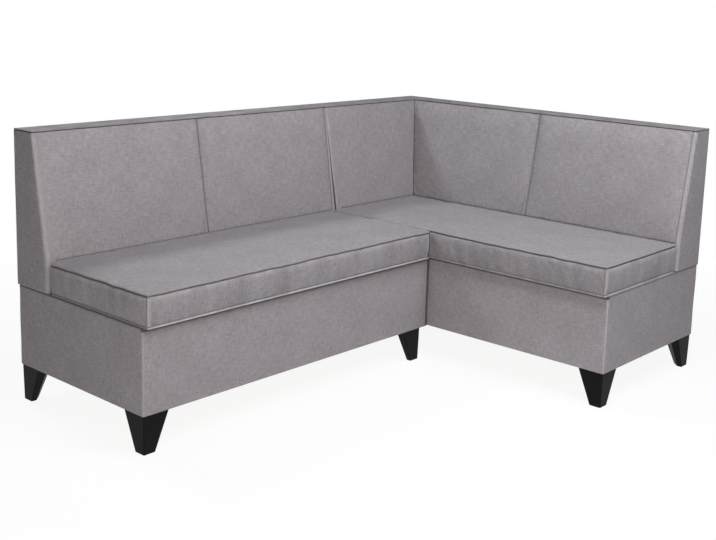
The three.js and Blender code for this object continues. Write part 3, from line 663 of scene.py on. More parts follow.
def settle():
    """Runs the cloth of all waiting pieces at once, softens each move, and adds the puckers."""
    for number in range(1, SIM_FRAMES + 1):
        scene.frame_set(number)
    graph = bpy.context.evaluated_depsgraph_get()
    moved = []
    for piece, *_ in waiting:
        moved.append(points_of(piece.evaluated_get(graph).data))
    for (piece, held, away, limit, pucker, reach), after in zip(waiting, moved):
        rest = points_of(piece.data)
        move = after - rest
        size = np.linalg.norm(move, axis=1, keepdims=True)
        limit = limit[:, None]
        points = rest + move * limit / np.sqrt(limit ** 2 + size ** 2)
        fade = (np.exp(-away / reach) + FAR_PUCKER_SHARE) * np.clip(away / reach * PUCKER_RISE, 0, 1)
        push = np.where(held, 0, pucker * fade * ripple(points))
        points += normals_of(points, quads_of(piece.data)) * push[:, None]
        piece.modifiers.clear()
        piece.vertex_groups.clear()
        piece.data.vertices.foreach_set("co", points.astype(np.float32).ravel())
        piece.data.update()
        print(piece.name, "moved at most", round(float(size.max()) / MM, 1), "mm before softening")
    scene.frame_set(1)


def smooth_out(piece):
    """One level of subdivision, the same in view and in render."""
    soften = piece.modifiers.new("soften", "SUBSURF")
    soften.levels = soften.render_levels = 1


# %% [markdown]
# Each seat is a boxed cushion on a board. Its top panel meets the band in a pressed seam: a
# narrow welt at the very edge with a groove under it, painted dark as its shade. At each upright
# corner a fine ridge stands between two shallow grooves, where the band's two lengths are joined.
# The band leans in a little towards its foot and bulges between its seams in soft upright waves,
# and a thin piping closes it below. The underside is hollowed for the board, since the cover is
# stapled over the board's edge. Where the two cushions nearly touch, the seam is faint and the
# straight one's end is painted dark, as the shade in the gap between them. The crown is highest
# near the front and low at the hinged rear.

# %% Sizes of the seat cushions
SEAT_RADIUS = 12 * MM
SEAT_STEP = 11 * MM
SEAT_CROWN = 6.5 * MM
SEAT_CROWN_REACH = 160 * MM
SEAT_REAR_REACH = 300 * MM
SEAT_FIRM_REACH = 160 * MM
SEAT_UNEVEN = 0.6 * MM
# How much longer than the plain ripple the top's waves, the band's and the seam's are.
SEAT_WAVES = 3.5
FOLD_WAVES = 2.6
SEAM_WAVES = 5.0
# How much slower the band's waves change up the band than along it.
FOLD_UPRIGHT = 4
EDGE_DROP = 1.6 * MM
EDGE_ROLL = 2.4 * MM
SEAM_DROP = 5.2 * MM
SEAM_HEIGHT = 3.6 * MM
SEAM_GROOVE = 3.0 * MM
SEAM_WANDER = 1.1 * MM
WELT_IN = 0.9 * MM
BAND_LEAN = 4.0 * MM
BAND_BULGE = 3.4 * MM
BAND_FOLD = 1.2 * MM
# The band's bulge is a half sine raised to this power, which makes it flatter in the middle.
BULGE_POWER = 0.7
# The share of the band's profile that is left at an upright corner.
CORNER_SHARE = 0.4
PIPING_HEIGHT = 2.3 * MM
PIPING_OUT = 2.0 * MM
PIPING_SEAM = 2.3 * PIPING_HEIGHT
PIPING_GROOVE = 1.6 * MM
PIPING_GROOVE_WIDTH = 3 * MM
# The ridge at an upright corner, and how far from it, or from the foot, the cloth is free.
RIDGE = 0.9 * MM
RIDGE_WIDTH = 2.2 * MM
RIDGE_GROOVE = 4.6 * MM
RIDGE_GROOVE_DEPTH = 1.1 * MM
RIDGE_GROOVE_WIDTH = 2.0 * MM
FREE_REACH = 20 * MM
STAPLED_EDGE = 3 * MM
STAPLED_RISE = 1.2 * MM
BOARD_EDGE = 5.5 * MM
BOARD_SLOPE = 1.5 * MM
BOARD_RISE = 15.6 * MM
# Rows of points down the band: distances below its top edge, then heights above its foot.
BAND_TOP_ROWS = np.array([1.0, 2.2, 3.2, 4.0, 5.2, 6.4, 7.4, 8.6, 10.5]) * MM
BAND_FOOT_ROWS = np.array([12, 9.8, 8.2, 7.2, 6.2, 5.2, 4.2, 3.2, 2.2, 1.2, 0.5]) * MM
BAND_MIDDLE = (13.5 * MM, 15 * MM)
BAND_MIDDLE_ROWS = 9
# How near a seam the cloth is held while it settles.
SEAM_HOLD = 9 * MM
CORNER_HOLD = 5 * MM
RIM_HOLD = 2.5 * MM
# The cushions' inner pressure, how much larger their cloth is cut, and how it moves and puckers.
SEAT_PRESSURE = 2.5
SEAT_EASE = 0.008
SEAT_SETTLE = 5 * MM
SEAT_PUCKER = 0.8 * MM
SEAT_PUCKER_REACH = 20 * MM
# How far each cushion's outline stands outside its solid's box: left, right, front, rear.
SEAT_REACH = {
    "straight_seat_cushion": (1.5 * MM, -0.5 * MM, 1.0 * MM, 1.5 * MM),
    "corner_seat_cushion": (2.0 * MM, 1.5 * MM, 1.5 * MM, -1.0 * MM),
}
print("seat crown:", SEAT_CROWN / MM, "mm, settles by up to", SEAT_SETTLE / MM, "mm")

# %% [markdown]
# The band's cloth isn't one tone. Its seams and the joint are painted dark, as painted shade.
# The piping, the ridges and the cloth under the welt are painted pale, as painted highlights.
# The band's front has a painted shade, and its waves a painted light and shade. These are the
# marks of those places, and how wide each is.

# %% Tones of the seat cushions
# The straight cushion's end, painted dark as the shade of the joint: how far the painted shade
# reaches at its foot, how much less at its top, and the painted highlight on the ridge beyond it.
END_DARK = 15 * MM
END_DARK_LESS = 5 * MM
END_FADE = 1.5 * MM
END_DARK_FOOT = 4 * MM
END_RIDGE = 2.5 * MM
END_RIDGE_WIDTH = 5 * MM
# Tones of the painted shade lines: the top seam, the one over the piping and the one beside a
# corner's ridge. The top seam where the other cushion hides it has a faint tone, and more at the front.
SEAM_TONE = 0.8
PIPING_SEAM_TONE = 0.35
CORNER_SEAM_TONE = 0.5
HIDDEN_TONES = (0.12, 0.5)
# How wide the painted shade line in a groove is, as a share of the groove.
GROOVE_LINE = 0.8
# Painted highlights of the pale stretches, each on the band's ends and on its front and rear. The
# piping's is uneven: its mean share, and how much less a wave leaves of it.
PIPING_LIGHTS = (0.08, 0.75)
PIPING_GLOSS = (0.85, 0.25)
PIPING_LIGHT_WIDTH = 1.4 * PIPING_HEIGHT
RIDGE_WIDTHS = (7 * MM, 15 * MM)
RIDGE_LIGHT = 0.36
END_RIDGE_LIGHT = 0.4
# The painted highlight on the cloth under the welt: where it is palest, how wide that is, its
# light and how uneven.
WELT_LIGHT_AT = 2.4 * SEAM_DROP
WELT_LIGHT_WIDTH = 12 * MM
WELT_LIGHTS = (0.24, 0.12)
# The band's plain cloth: its painted shade at the front, its even painted shade and how much
# painted light and shade its waves add. A dark line fainter than the last of these doesn't show on it.
BAND_SHADE = 0.17
BAND_PLAIN = 0.04
BAND_UNEVEN = 0.1
LEAST_DARK = 0.1
# From which share of its depth the corner cushion's left side is hidden by the straight one, how
# fast the hidden seam fades, and how near a side a point has to be to lie on it.
HIDDEN_FROM = 0.62
HIDDEN_FADE = 45 * MM
TOUCH = 1 * MM
print("band tones:", BAND_PLAIN, "plain,", SEAM_TONE, "in the top seam")

# %% [markdown]
# The band's form depends only on the distances from its two edges. Its marks depend on where on
# the cushion a point lies as well.

# %% Form and marks of a cushion's band


def flank(drop, rise):
    """How far the band stands out: drop is the distance below its top edge, rise the height above its foot.

    A welt, a groove, a half-sine bulge that leans in downwards, then a round bead at the foot.
    """
    height = drop + rise
    lean = -BAND_LEAN * drop / height
    between = np.clip((drop - SEAM_DROP) / (height - 2 * SEAM_DROP), 0, 1)
    bulge = BAND_BULGE * np.sin(math.pi * between) ** BULGE_POWER
    groove = SEAM_GROOVE * line_mask(drop - SEAM_DROP, SEAM_HEIGHT)
    welt = WELT_IN * np.clip(1 - drop / EDGE_DROP, 0, 1)
    bead = PIPING_OUT * np.sqrt(np.clip(1 - ((rise - PIPING_HEIGHT) / PIPING_HEIGHT) ** 2, 0, 1))
    above = PIPING_GROOVE * line_mask(rise - PIPING_SEAM, PIPING_GROOVE_WIDTH)
    return lean + bulge - groove - welt + bead - above


def cushion_mark(across, deep, share, drop, rise, corner, front, width, depth, opens_back, wave):
    """Painted shade in the seams and the joint, painted highlights on piping and ridges, uneven between.

    Across, deep and share are a point's place, drop and rise its distances from the band's edges,
    corner that from the nearest upright corner and front that from the seat's front.
    """
    hidden = across > width - TOUCH if opens_back else (across < TOUCH) & (deep > depth * HIDDEN_FROM)
    on_end = np.minimum(across, width - across) < np.minimum(deep, depth - deep)
    faint = HIDDEN_TONES[0] + HIDDEN_TONES[1] * np.exp(-deep / HIDDEN_FADE)
    # Painted shade in the top seam's groove, in the groove over the piping and beside a corner's ridge.
    top_seam = np.where(hidden, faint, SEAM_TONE) * line_mask(drop - SEAM_DROP, GROOVE_LINE * SEAM_HEIGHT)
    foot_seam = PIPING_SEAM_TONE * line_mask(rise - PIPING_SEAM, GROOVE_LINE * PIPING_GROOVE_WIDTH)
    corner_seam = np.where(on_end, CORNER_SEAM_TONE, 0) * line_mask(corner - RIDGE_GROOVE, RIDGE_GROOVE_WIDTH)
    dark = np.maximum(np.maximum(top_seam, foot_seam), corner_seam)
    # Painted highlights on the piping, on the cloth under the welt and on the corners' ridges.
    gloss = np.where(on_end, *PIPING_LIGHTS) * (PIPING_GLOSS[0] - PIPING_GLOSS[1] * wave)
    piping = gloss * line_mask(rise - PIPING_HEIGHT, PIPING_LIGHT_WIDTH)
    welt_light = (WELT_LIGHTS[0] - WELT_LIGHTS[1] * wave) * ~hidden
    welt = welt_light * line_mask(drop - WELT_LIGHT_AT, WELT_LIGHT_WIDTH)
    ridge = RIDGE_LIGHT * line_mask(corner, np.where(on_end, *RIDGE_WIDTHS))
    pale = np.maximum(np.maximum(piping, welt), ridge)
    # Painted shade in the gap of the joint at the straight cushion's end, and a painted highlight on the
    # ridge beyond it.
    if opens_back:
        to_joint = np.where(deep > 0, width, width - across)
        gap = END_DARK - END_DARK_LESS * share
        dark = np.maximum(dark, np.clip((gap - to_joint) / END_FADE, 0, 1) * (rise > END_DARK_FOOT))
        pale = np.maximum(pale, END_RIDGE_LIGHT * line_mask(to_joint - gap - END_RIDGE, END_RIDGE_WIDTH))
    # Painted shade on the band's front, and painted light and shade that follow the band's waves.
    shade = BAND_SHADE * np.clip(1 - front / SEAT_RADIUS, 0, 1)
    return np.where(dark > LEAST_DARK, dark, BAND_UNEVEN * wave + BAND_PLAIN + shade - pale)


# %% [markdown]
# A cushion is built in its own plan and moved to its solid's place. The seams, the corners and the
# base are held while the cloth settles.

# %% Seat cushions


def seat_cushion(name):
    """A boxed cushion over its solid's place. Three hills multiply to its crown, and its rim rolls down."""
    left, right, front, rear = SEAT_REACH[name]
    low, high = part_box(name)
    start = np.array([low.x - left, low.y - front, low.z])
    width, depth = high.x + right - start[0], high.y + rear - start[1]
    height = SEAT_TOP - low.z
    opens_back = name.startswith("straight")

    def hinge_way(across, deep):
        """Distances from the seat's front and from its hinged rear."""
        return (deep, depth - deep) if opens_back else (across, width - across)

    def face_height(across, deep):
        """The cover's height: a crown that falls to every side, a rim that rolls down, and soft waves."""
        roll = EDGE_DROP * np.clip(1 - nearest_side(across, deep, width, depth) / EDGE_ROLL, 0, 1) ** 2
        front, rear = hinge_way(across, deep)
        ends = hill(across, width, SEAT_CROWN_REACH) if opens_back else hill(deep, depth, SEAT_CROWN_REACH)
        reach = 2 * (front + rear)
        crown = SEAT_CROWN * ends * hill(front, reach, SEAT_CROWN_REACH) * hill(rear, reach, SEAT_REAR_REACH)
        place = np.stack([across, deep, 0 * across], -1)
        return height - roll + crown + SEAT_UNEVEN * ripple(place, SEAT_WAVES)

    def base_height(across, deep):
        """The underside's height: low under the board's edge, then a step up to the board."""
        insets = [0, STAPLED_EDGE, BOARD_EDGE, BOARD_EDGE + BOARD_SLOPE]
        return np.interp(nearest_side(across, deep, width, depth), insets, [STAPLED_RISE, 0, 0, BOARD_RISE])

    def to_corner(across, deep):
        """Distance along the band from the nearest upright corner."""
        return np.maximum(np.minimum(across, width - across), np.minimum(deep, depth - deep))

    def waves(across, deep, share):
        """Upright waves of the band: a ripple that changes along the band much more than up it."""
        return ripple(np.stack([across, deep, share * height / FOLD_UPRIGHT], -1), FOLD_WAVES)

    def side_offset(across, deep, share):
        """The band's profile, flatter near a corner, with the corner's ridge and the waves added."""
        total = height - EDGE_DROP
        corner = to_corner(across, deep)
        groove = RIDGE_GROOVE_DEPTH * line_mask(corner - RIDGE_GROOVE, RIDGE_GROOVE_WIDTH)
        ridge = RIDGE * np.exp(-(corner / RIDGE_WIDTH) ** 2) - groove
        fold = BAND_FOLD * waves(across, deep, share) * np.sin(math.pi * share)
        free = np.clip(corner / FREE_REACH, 0, 1)
        kept = CORNER_SHARE + (1 - CORNER_SHARE) * free
        return flank(total * (1 - share), total * share) * kept + ridge + fold * free

    middle = np.linspace(BAND_MIDDLE[0], height - BAND_MIDDLE[1], BAND_MIDDLE_ROWS)
    levels = 1 - np.concatenate([BAND_TOP_ROWS, middle, height - BAND_FOOT_ROWS]) / height
    points, quads, coordinates, across, deep, share = padded_form(
        width, depth, SEAT_RADIUS, SEAT_STEP, face_height, levels, side_offset, base_height,
    )
    side = (share > 0) & (share < 1)
    drop, rise = height * (1 - share), height * share
    points[:, 2] += SEAM_WANDER * ripple(points, SEAM_WAVES) * np.clip(rise / FREE_REACH, 0, 1)
    corner, front, rear = to_corner(across, deep), *hinge_way(across, deep)
    wave = waves(across, deep, share)
    mark = cushion_mark(across, deep, share, drop, rise, corner, front, width, depth, opens_back, wave)
    piece = cloth_piece(name.replace("seat_cushion", "boxed_cushion"), points + start, quads, coordinates,
                        seat_cloth, mark * side)
    piece.data.materials.append(cover_cloth)
    band_faces = (share[quads] < 1).any(1)
    piece.data.polygons.foreach_set("material_index", band_faces.astype(np.int32))
    inset, to_seam = nearest_side(across, deep, width, depth), np.minimum(drop, rise)
    away = np.where(side, np.maximum(to_seam - SEAM_HOLD, 0), inset)
    held = (share == 0) | (side & ((to_seam < SEAM_HOLD) | (corner < CORNER_HOLD)))
    held |= (share == 1) & (inset < RIM_HOLD)
    limit = SEAT_SETTLE * np.clip(rear / SEAT_FIRM_REACH, FIRM_SHARE, 1)
    hold_for_simulation(piece, held, away, SEAT_PRESSURE, limit, SEAT_EASE, SEAT_PUCKER, SEAT_PUCKER_REACH)
    return piece


cushions = {name: seat_cushion(name) for name in SEAT_REACH}
print("cushions:", [len(piece.data.vertices) for piece in cushions.values()], "points")

# %% [markdown]
# The backs are padded panels under a thin top band. Each panel is a crowned pad that rolls into
# the seam beside it. The valley between two neighbours gets a soft grey painted shade, and a dark
# line of painted shade stays only under the band. Low down, a faint fold runs beside the seam,
# where the cloth is tacked below the seat. It is drawn only as a line of painted shade. In the
# corner both walls' pads are cut on the diagonal, so each point of a pad is placed by its share
# of the way between the pad's two ends at that point's own depth and height.

# %% Sizes of the back pads
PAD_THICKNESS = 40 * MM
PAD_RADIUS = 5 * MM
# Rows of points down a pad's sides, as shares of the way up.
PAD_LEVELS = np.array([0.94, 0.85, 0.6, 0.3, 0.08])
PAD_CROWN = 5 * MM
PAD_REACH = 90 * MM
FOOT_REACH = 200 * MM
FIRM_REACH = 120 * MM
PAD_BOTTOM = SEAT_TOP + 0.2 * MM
PAD_TOP = BACK_TOP - 4.2 * MM
PAD_STEP = 12 * MM
SEAM_GAP = 0.2 * MM
MITRE_GAP = 0.1 * MM
RIM_DEPTHS = np.array([-5.5, -3.9, -2.7, -1.8, -1.1, -0.6, -0.25, 0]) * MM
RIM_INSETS = np.array([0, 0.7, 1.5, 2.4, 3.3, 4.2, 5.4, 7.5]) * MM
FOOT_ROLL = 0.3
# Widths and tones of the painted shade lines under the band, at the sides, in a seam and at the foot, and of
# the painted shade along the tacked fold.
TOP_LINE = 3.0 * MM
SIDE_LINE = 2.4 * MM
SEAM_LINE = 4.6 * MM
SEAM_SHADE_REACH = 9 * MM
FOOT_LINE = 2.0 * MM
TOP_TONE = 0.85
FOOT_TONE = 0.8
TACK_REACH = 0.4
TACK_FOLD = 20 * MM
TACK_TONE = 0.28
TACK_LINE = 7 * MM
# The pads' inner pressure, how much larger their cloth is cut, and how it is held, moves and puckers.
PAD_PRESSURE = 2.0
PAD_EASE = 0.006
PAD_HOLD = 2 * MM
PAD_SETTLE = 4 * MM
PAD_PUCKER = 0.9 * MM
PAD_PUCKER_REACH = 26 * MM
# Widths of the strips beside the joint and at the right end, at the seat and at the top.
JOINT_WRAP = (17 * MM, 7 * MM)
END_WRAP = (16 * MM, 14 * MM)


def fixed(place):
    """An end of a piece that is the same at every depth and height."""
    return lambda depth, height: place + 0 * depth


class Edge:
    """One upright side of a panel.

    Roll is how deep its rim rolls in, as a share. Two tones give its painted shade line at the foot
    and at the top, line is how wide that is, and shade is a soft painted shade beside it, strongest at the
    top.
    """

    def __init__(self, roll, foot_tone, top_tone, line, shade):
        self.roll = roll
        self.foot_tone = foot_tone
        self.top_tone = top_tone
        self.line = line
        self.shade = shade

    def tone(self, share):
        """The line's tone at a share of the height: it changes with the root of the way down."""
        return self.top_tone + (self.foot_tone - self.top_tone) * np.sqrt(np.clip(1 - share, 0, 1))


# Each kind of side: its roll, the tones and width of its painted shade line, and its soft painted shade.
VALLEY = Edge(0.7, 0.34, 0.44, SEAM_LINE, 0.3)
WELTED = Edge(0.7, 0.42, 0.5, SIDE_LINE, 0.0)
SHALLOW = Edge(0.8, 0.25, 0.2, SIDE_LINE, 0.0)
MITRE = Edge(0.15, 0.9, 0.0, SIDE_LINE, 0.0)
print("pad bottom and top:", round(PAD_BOTTOM, 4), round(PAD_TOP, 4))

# %% [markdown]
# The rim of a panel is worked out from the distances to its four sides, so that every kind of
# panel can share it. A pad is a padded form, bent onto its wall's slope.

# %% Back pads


def pad_rim(left, right, below, above, left_edge, right_edge):
    """The rim's profile, its mark and the distance to the nearest side, from the distances to all four."""
    share = below / (below + above)
    rim = np.interp(above, RIM_INSETS, RIM_DEPTHS)
    # The mark is painted shade: lines under the band, at the foot and at each side, and a soft shade beside a
    # seam.
    line = np.maximum(TOP_TONE * line_mask(above, TOP_LINE), FOOT_TONE * line_mask(below, FOOT_LINE))
    sides = ((left, left_edge), (right, right_edge))
    for inset, edge in sides:
        rim = np.minimum(rim, edge.roll * np.interp(inset, RIM_INSETS, RIM_DEPTHS))
        line = np.maximum(line, edge.tone(share) * line_mask(inset, edge.line))
        soft = edge.shade * np.sqrt(np.clip(share, 0, 1)) * np.exp(-inset / SEAM_SHADE_REACH)
        line = np.maximum(line, soft)
    rim = np.minimum(rim, FOOT_ROLL * np.interp(below, RIM_INSETS, RIM_DEPTHS))
    return rim, line, np.minimum(np.minimum(left, right), np.minimum(below, above))


def tack_fold(seam, below, above):
    """Painted shade of the fold that leaves a seam low down and runs away from it down to the seat."""
    low = np.clip(1 - below / (TACK_REACH * (below + above)), 0, 1)
    return TACK_TONE * low * line_mask(seam - TACK_FOLD * low, TACK_LINE)


def straight_side(across, deep, share):
    """A side that doesn't bulge."""
    return 0 * share


def flat_base(across, deep):
    """A base that lies at zero."""
    return 0 * across


def back_pad(node, wall, low_end, high_end, low_edge, high_edge, tacked):
    """A crowned pad on a wall. Its ends are functions of depth and height, so that it can be mitred."""
    width = float(high_end(SEAT_DEPTH, SEAT_TOP) - low_end(SEAT_DEPTH, SEAT_TOP))
    rise = PAD_TOP - PAD_BOTTOM

    def rim_at(across, deep):
        """The rim's profile, its mark and the inset at a place of the pad."""
        return pad_rim(across, width - across, deep, rise - deep, low_edge, high_edge)

    def face_height(across, deep):
        """The pad's thickness with its rim, and a crown that fades towards the seat and the sides."""
        up = hill(deep, 2 * rise, FOOT_REACH) * hill(rise - deep, 2 * rise, PAD_REACH)
        return PAD_THICKNESS + rim_at(across, deep)[0] + PAD_CROWN * hill(across, width, PAD_REACH) * up

    points, quads, coordinates, across, deep, share = padded_form(
        width, rise, PAD_RADIUS, PAD_STEP, face_height, PAD_LEVELS, straight_side, flat_base,
    )
    height = PAD_BOTTOM + points[:, 1]
    depth = back_depth(height) - PAD_THICKNESS + points[:, 2]
    first, last = low_end(depth, height), high_end(depth, height)
    world = wall(first + (last - first) * points[:, 0] / width, depth, height)
    _, line, inset = rim_at(across, deep)
    fold = tack_fold(across, deep, rise - deep) if tacked else 0 * across
    # The face gets its painted shade lines. The pad's sides and base are painted fully dark, as shade.
    mark = np.where(share == 1, np.maximum(line, fold), 1)
    piece = cloth_piece(f"{node}_panel", world, quads, coordinates, cover_cloth, mark)
    held = (share < 1) | (inset < PAD_HOLD)
    away = np.where(share == 1, inset, 0)
    limit = PAD_SETTLE * np.clip(deep / FIRM_REACH, FIRM_SHARE, 1)
    hold_for_simulation(piece, held, away, PAD_PRESSURE, limit, PAD_EASE, PAD_PUCKER, PAD_PUCKER_REACH)
    return piece


# %% [markdown]
# Three panels have a seam at either side. The ends of a panel are functions of depth and height:
# even at the seam between two panels, sloped beside a wrapped end, diagonal in the corner.

# %% Panels between two seams


def joint_wrap_width(height):
    """Width of the wrap beside the joint: narrow at the top, wider down to the seat."""
    return np.interp(height, [SEAT_TOP, BACK_TOP], JOINT_WRAP)


def end_wrap_width(height):
    """Width of the wrap at the right end's front."""
    return np.interp(height, [SEAT_TOP, BACK_TOP], END_WRAP)


def beside_joint_wrap(depth, height):
    """Where the straight bench's right panel ends: at the wrap beside the joint."""
    return JOINT_LEFT - joint_wrap_width(height) - SEAM_GAP + 0 * depth


def beside_end_wrap(depth, height):
    """Where the corner bench's outer panel starts: at the wrap of its end."""
    return RIGHT_END + end_wrap_width(height) + SEAM_GAP + 0 * depth


def side_mitre(depth, height):
    """Where the side wall's inner panel ends: on the corner's diagonal."""
    return REAR_Y - depth - MITRE_GAP


def long_mitre(depth, height):
    """Where the long wall's inner panel ends: on the corner's diagonal."""
    return REAR_X - depth - MITRE_GAP


pads = {
    "straight_back_pad_right": (
        on_long_wall, fixed(PANEL_SEAM_X + SEAM_GAP), beside_joint_wrap, VALLEY, WELTED, False,
    ),
    "corner_back_pad_left": (
        on_side_wall, fixed(PANEL_SEAM_Y + SEAM_GAP), side_mitre, VALLEY, MITRE, True,
    ),
    "corner_back_pad_right": (
        on_side_wall, beside_end_wrap, fixed(PANEL_SEAM_Y - SEAM_GAP), SHALLOW, VALLEY, False,
    ),
}
panels = {node: back_pad(node, *place) for node, place in pads.items()}
print("panels:", [len(piece.data.vertices) for piece in panels.values()], "points")

# %% [markdown]
# At the far left end, and at the corner bench's side of the joint, the panel has no seam at its
# end: the same length of cloth rolls round the front corner and covers the end's face. Such a
# panel is a closed sheet between two grids. A row of a grid is a place along the cloth: first
# across the front, then round a quarter circle, then along the end's face to the rear. A column
# is a share of the height. On the end's face the cloth goes down to the chest, on the front it
# stops at the seat, and the foot of the columns changes between the two behind the cushion.

# %% A closed sheet between two grids
ROLL_TOP = 9 * MM
ROLL_LOW = 15 * MM
ROLL_STEPS = 9
# The painted highlight on the roll round the end.
ROLL_LIGHT = 0.26
END_BULGE = 1.5 * MM
END_STEP = 9 * MM
END_UNEVEN = 0.5 * MM
# Where the panel's foot starts to rise from the chest to the seat, and over what length.
FOOT_CHANGE = 17 * MM
FOOT_CHANGE_OVER = 8 * MM
# The crown fades towards the roll as a power of the way, and the bulge on the end's face is a
# flattened half sine over its height. A rim on that face has half its depth.
CROWN_POWER = 0.8
END_POWER = 0.6
FACE_RIM = 0.5
# The least distance of the cloth from the rear face, and one that is beyond any edge.
LEAST_DEPTH = 0.4 * MM
FAR = 10.0
# A mark below this is not a line.
LEAST_LINE = 0.05
# The turn of the roll, in radians, from which the cloth is painted with the shade of the joint.
JOINT_DARK = 1.0
JOINT_SPREAD = 0.6
JOINT_FADE = 0.25
END_FOOT = CHEST_TOP + 0.5 * MM
SKIN = 8 * MM


def thick_sheet(name, outer, inner, material, mark, loop=False):
    """A closed sheet between two grids.

    A loop's last row joins its first, so only its two long edges are closed.
    """
    rows, columns = outer.shape[:2]
    index = np.arange(rows * columns).reshape(rows, columns)
    if loop:
        index = np.concatenate([index, index[:1]])
    back = index + rows * columns
    quads = [grid_faces(index), grid_faces(back)[:, ::-1]]
    strips = [(back[:, 0], index[:, 0]), (index[:, -1], back[:, -1])]
    if not loop:
        strips += [(index[0], back[0]), (back[-1], index[-1])]
    quads += [grid_faces(np.stack(strip, 1)) for strip in strips]
    ring = np.concatenate([outer, outer[:1]]) if loop else outer
    along = lengths_along(ring[:, columns // 2])
    up = lengths_along(outer[rows // 2])
    plan = np.stack(np.meshgrid(along, up, indexing="ij"), -1)
    edges = [np.stack([plan[:, 0], plan[:, 0]], 1), np.stack([plan[:, -1], plan[:, -1]], 1)]
    if not loop:
        edges += [np.stack([plan[0], plan[0]], 1), np.stack([plan[-1], plan[-1]], 1)]
    coordinates = [grid_faces(plan), grid_faces(plan)[:, ::-1]] + [grid_faces(edge) for edge in edges]
    points = np.concatenate([outer.reshape(-1, 3), inner.reshape(-1, 3)])
    return cloth_piece(name, points, np.concatenate(quads), np.concatenate(coordinates), material,
                       np.tile(mark.ravel(), 2))


# %% [markdown]
# The path of the cloth is kept in plan as a share across the front, an angle round the roll and a
# share along the end's face. All three are moved out and in together, for the two skins.

# %% A panel that rolls round an end


def end_panel(name, wall, end, sign, inner_end, edge, tacked):
    """A panel on a wall that rolls round the wall's end. Sign is the way along the wall from that end.

    Across is the share of the front from the seam to the roll, angle the turn of the roll, and
    back the share of the end's face from the roll to the rear.
    """
    width = float(abs(inner_end(SEAT_DEPTH, SEAT_TOP) - end))
    front = near_and_even(width - ROLL_LOW, PAD_STEP) / (width - ROLL_LOW)
    turn = np.linspace(0, math.pi / 2, ROLL_STEPS + 1)[1:]
    side = 1 - near_and_even(TOP_DEPTH, END_STEP)[-2::-1] / TOP_DEPTH
    share_up = stations(PAD_TOP - PAD_BOTTOM, PAD_STEP) / (PAD_TOP - PAD_BOTTOM)
    across = np.concatenate([front, np.ones(len(turn) + len(side))])[:, None]
    angle = np.concatenate([0 * front, turn, np.full(len(side), math.pi / 2)])[:, None]
    back = np.concatenate([0 * front, 0 * turn, side])[:, None]
    to_end = width * (1 - across) + ROLL_LOW * across
    foot = END_FOOT + (PAD_BOTTOM - END_FOOT) * smooth_step((to_end - FOOT_CHANGE) / FOOT_CHANGE_OVER)
    height = foot + (PAD_TOP - foot) * share_up
    depth = back_depth(height)
    radius = np.interp(height, [SEAT_TOP, BACK_TOP], [ROLL_LOW, ROLL_TOP])
    from_seam = (width - ROLL_LOW) * across + 0 * height
    below, above = height - foot, PAD_TOP - height
    rim, line, inset = pad_rim(from_seam, FAR + 0 * height, below, above, edge, WELTED)
    if tacked:
        line = np.maximum(line, tack_fold(from_seam, below, above))
    on_side = np.sin(angle)
    rim = rim * (1 - FACE_RIM * on_side)
    rise = PAD_TOP - foot
    up = hill(below, 2 * rise, FOOT_REACH) * hill(above, 2 * rise, PAD_REACH)
    crown = PAD_CROWN * hill(from_seam, 2 * width, PAD_REACH) * up
    crown = crown * np.clip((width - ROLL_LOW - from_seam) / PAD_REACH, 0, 1) ** CROWN_POWER
    up_face = np.sin(math.pi * np.clip(share_up, 0, 1)) ** END_POWER
    bulge = END_BULGE * on_side * up_face * (1 - back) * (back > 0)
    place = np.stack([from_seam, depth * back, height], -1)
    wave = END_UNEVEN * ripple(place, FOLD_WAVES) * np.clip(inset / FREE_REACH, 0, 1)
    lift = rim + crown + bulge + wave

    def placed(extra):
        """The cloth's path, moved along its own outward way."""
        out = lift + extra
        run = (1 - across) * (width - ROLL_LOW) + ROLL_LOW - radius
        inward = np.where(angle > 0, radius - (radius + out) * np.sin(angle), radius + run)
        reach = depth - radius + (radius + out) * np.cos(angle)
        reach = np.where(back > 0, (depth - radius) * (1 - back), reach)
        reach = np.maximum(reach, LEAST_DEPTH)
        inner = inner_end(reach, height)
        roll_start = end + sign * radius
        along = np.where(across < 1, inner + (roll_start - inner) * across, end + sign * inward)
        return wall(along, reach, height)

    # Painted shade where the roll turns into the joint, and a painted highlight on the roll elsewhere.
    if end == JOINT_RIGHT:
        dark_from = JOINT_DARK - JOINT_SPREAD * (1 - share_up)
        line = np.maximum(line, np.clip((angle - dark_from) / JOINT_FADE, 0, 1))
    roll_light = ROLL_LIGHT * np.clip(np.sin(2 * angle), 0, 1) + 0 * height
    mark = np.where(line > LEAST_LINE, line, -roll_light)
    return thick_sheet(name, placed(0.0), placed(-SKIN), cover_cloth, mark)


# %% [markdown]
# The left end's panel also stands for the straight cover, whose end it covers, and the panel
# beside the joint for the return's cover.

# %% Place the rolled panels
end_panels = {
    "straight_back_end_panel": (
        ("straight_back_pad_left", "straight_back_cover"),
        (on_long_wall, LEFT_END, 1, fixed(PANEL_SEAM_X - SEAM_GAP), VALLEY, True),
    ),
    "corner_return_end_panel": (
        ("corner_return_pad", "corner_return_cover"),
        (on_long_wall, JOINT_RIGHT, 1, long_mitre, MITRE, False),
    ),
}
for name, (stands_for, place) in end_panels.items():
    piece = end_panel(name, *place)
    smooth_out(piece)
    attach(piece, "bench")
    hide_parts(*stands_for)
    print(name, len(piece.data.vertices), "points")

# %% [markdown]
# The covers' cloth has been given its forces, and now it runs, for all pieces at once. Then each
# piece gets one level of subdivision and stands for its solid.

# %% Run the cloth
settle()
for node, piece in {**cushions, **panels}.items():
    smooth_out(piece)
    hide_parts(node)
for node, piece in cushions.items():
    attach(piece, "straight_seat" if node.startswith("straight") else "corner_seat")
for piece in panels.values():
    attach(piece, "bench")

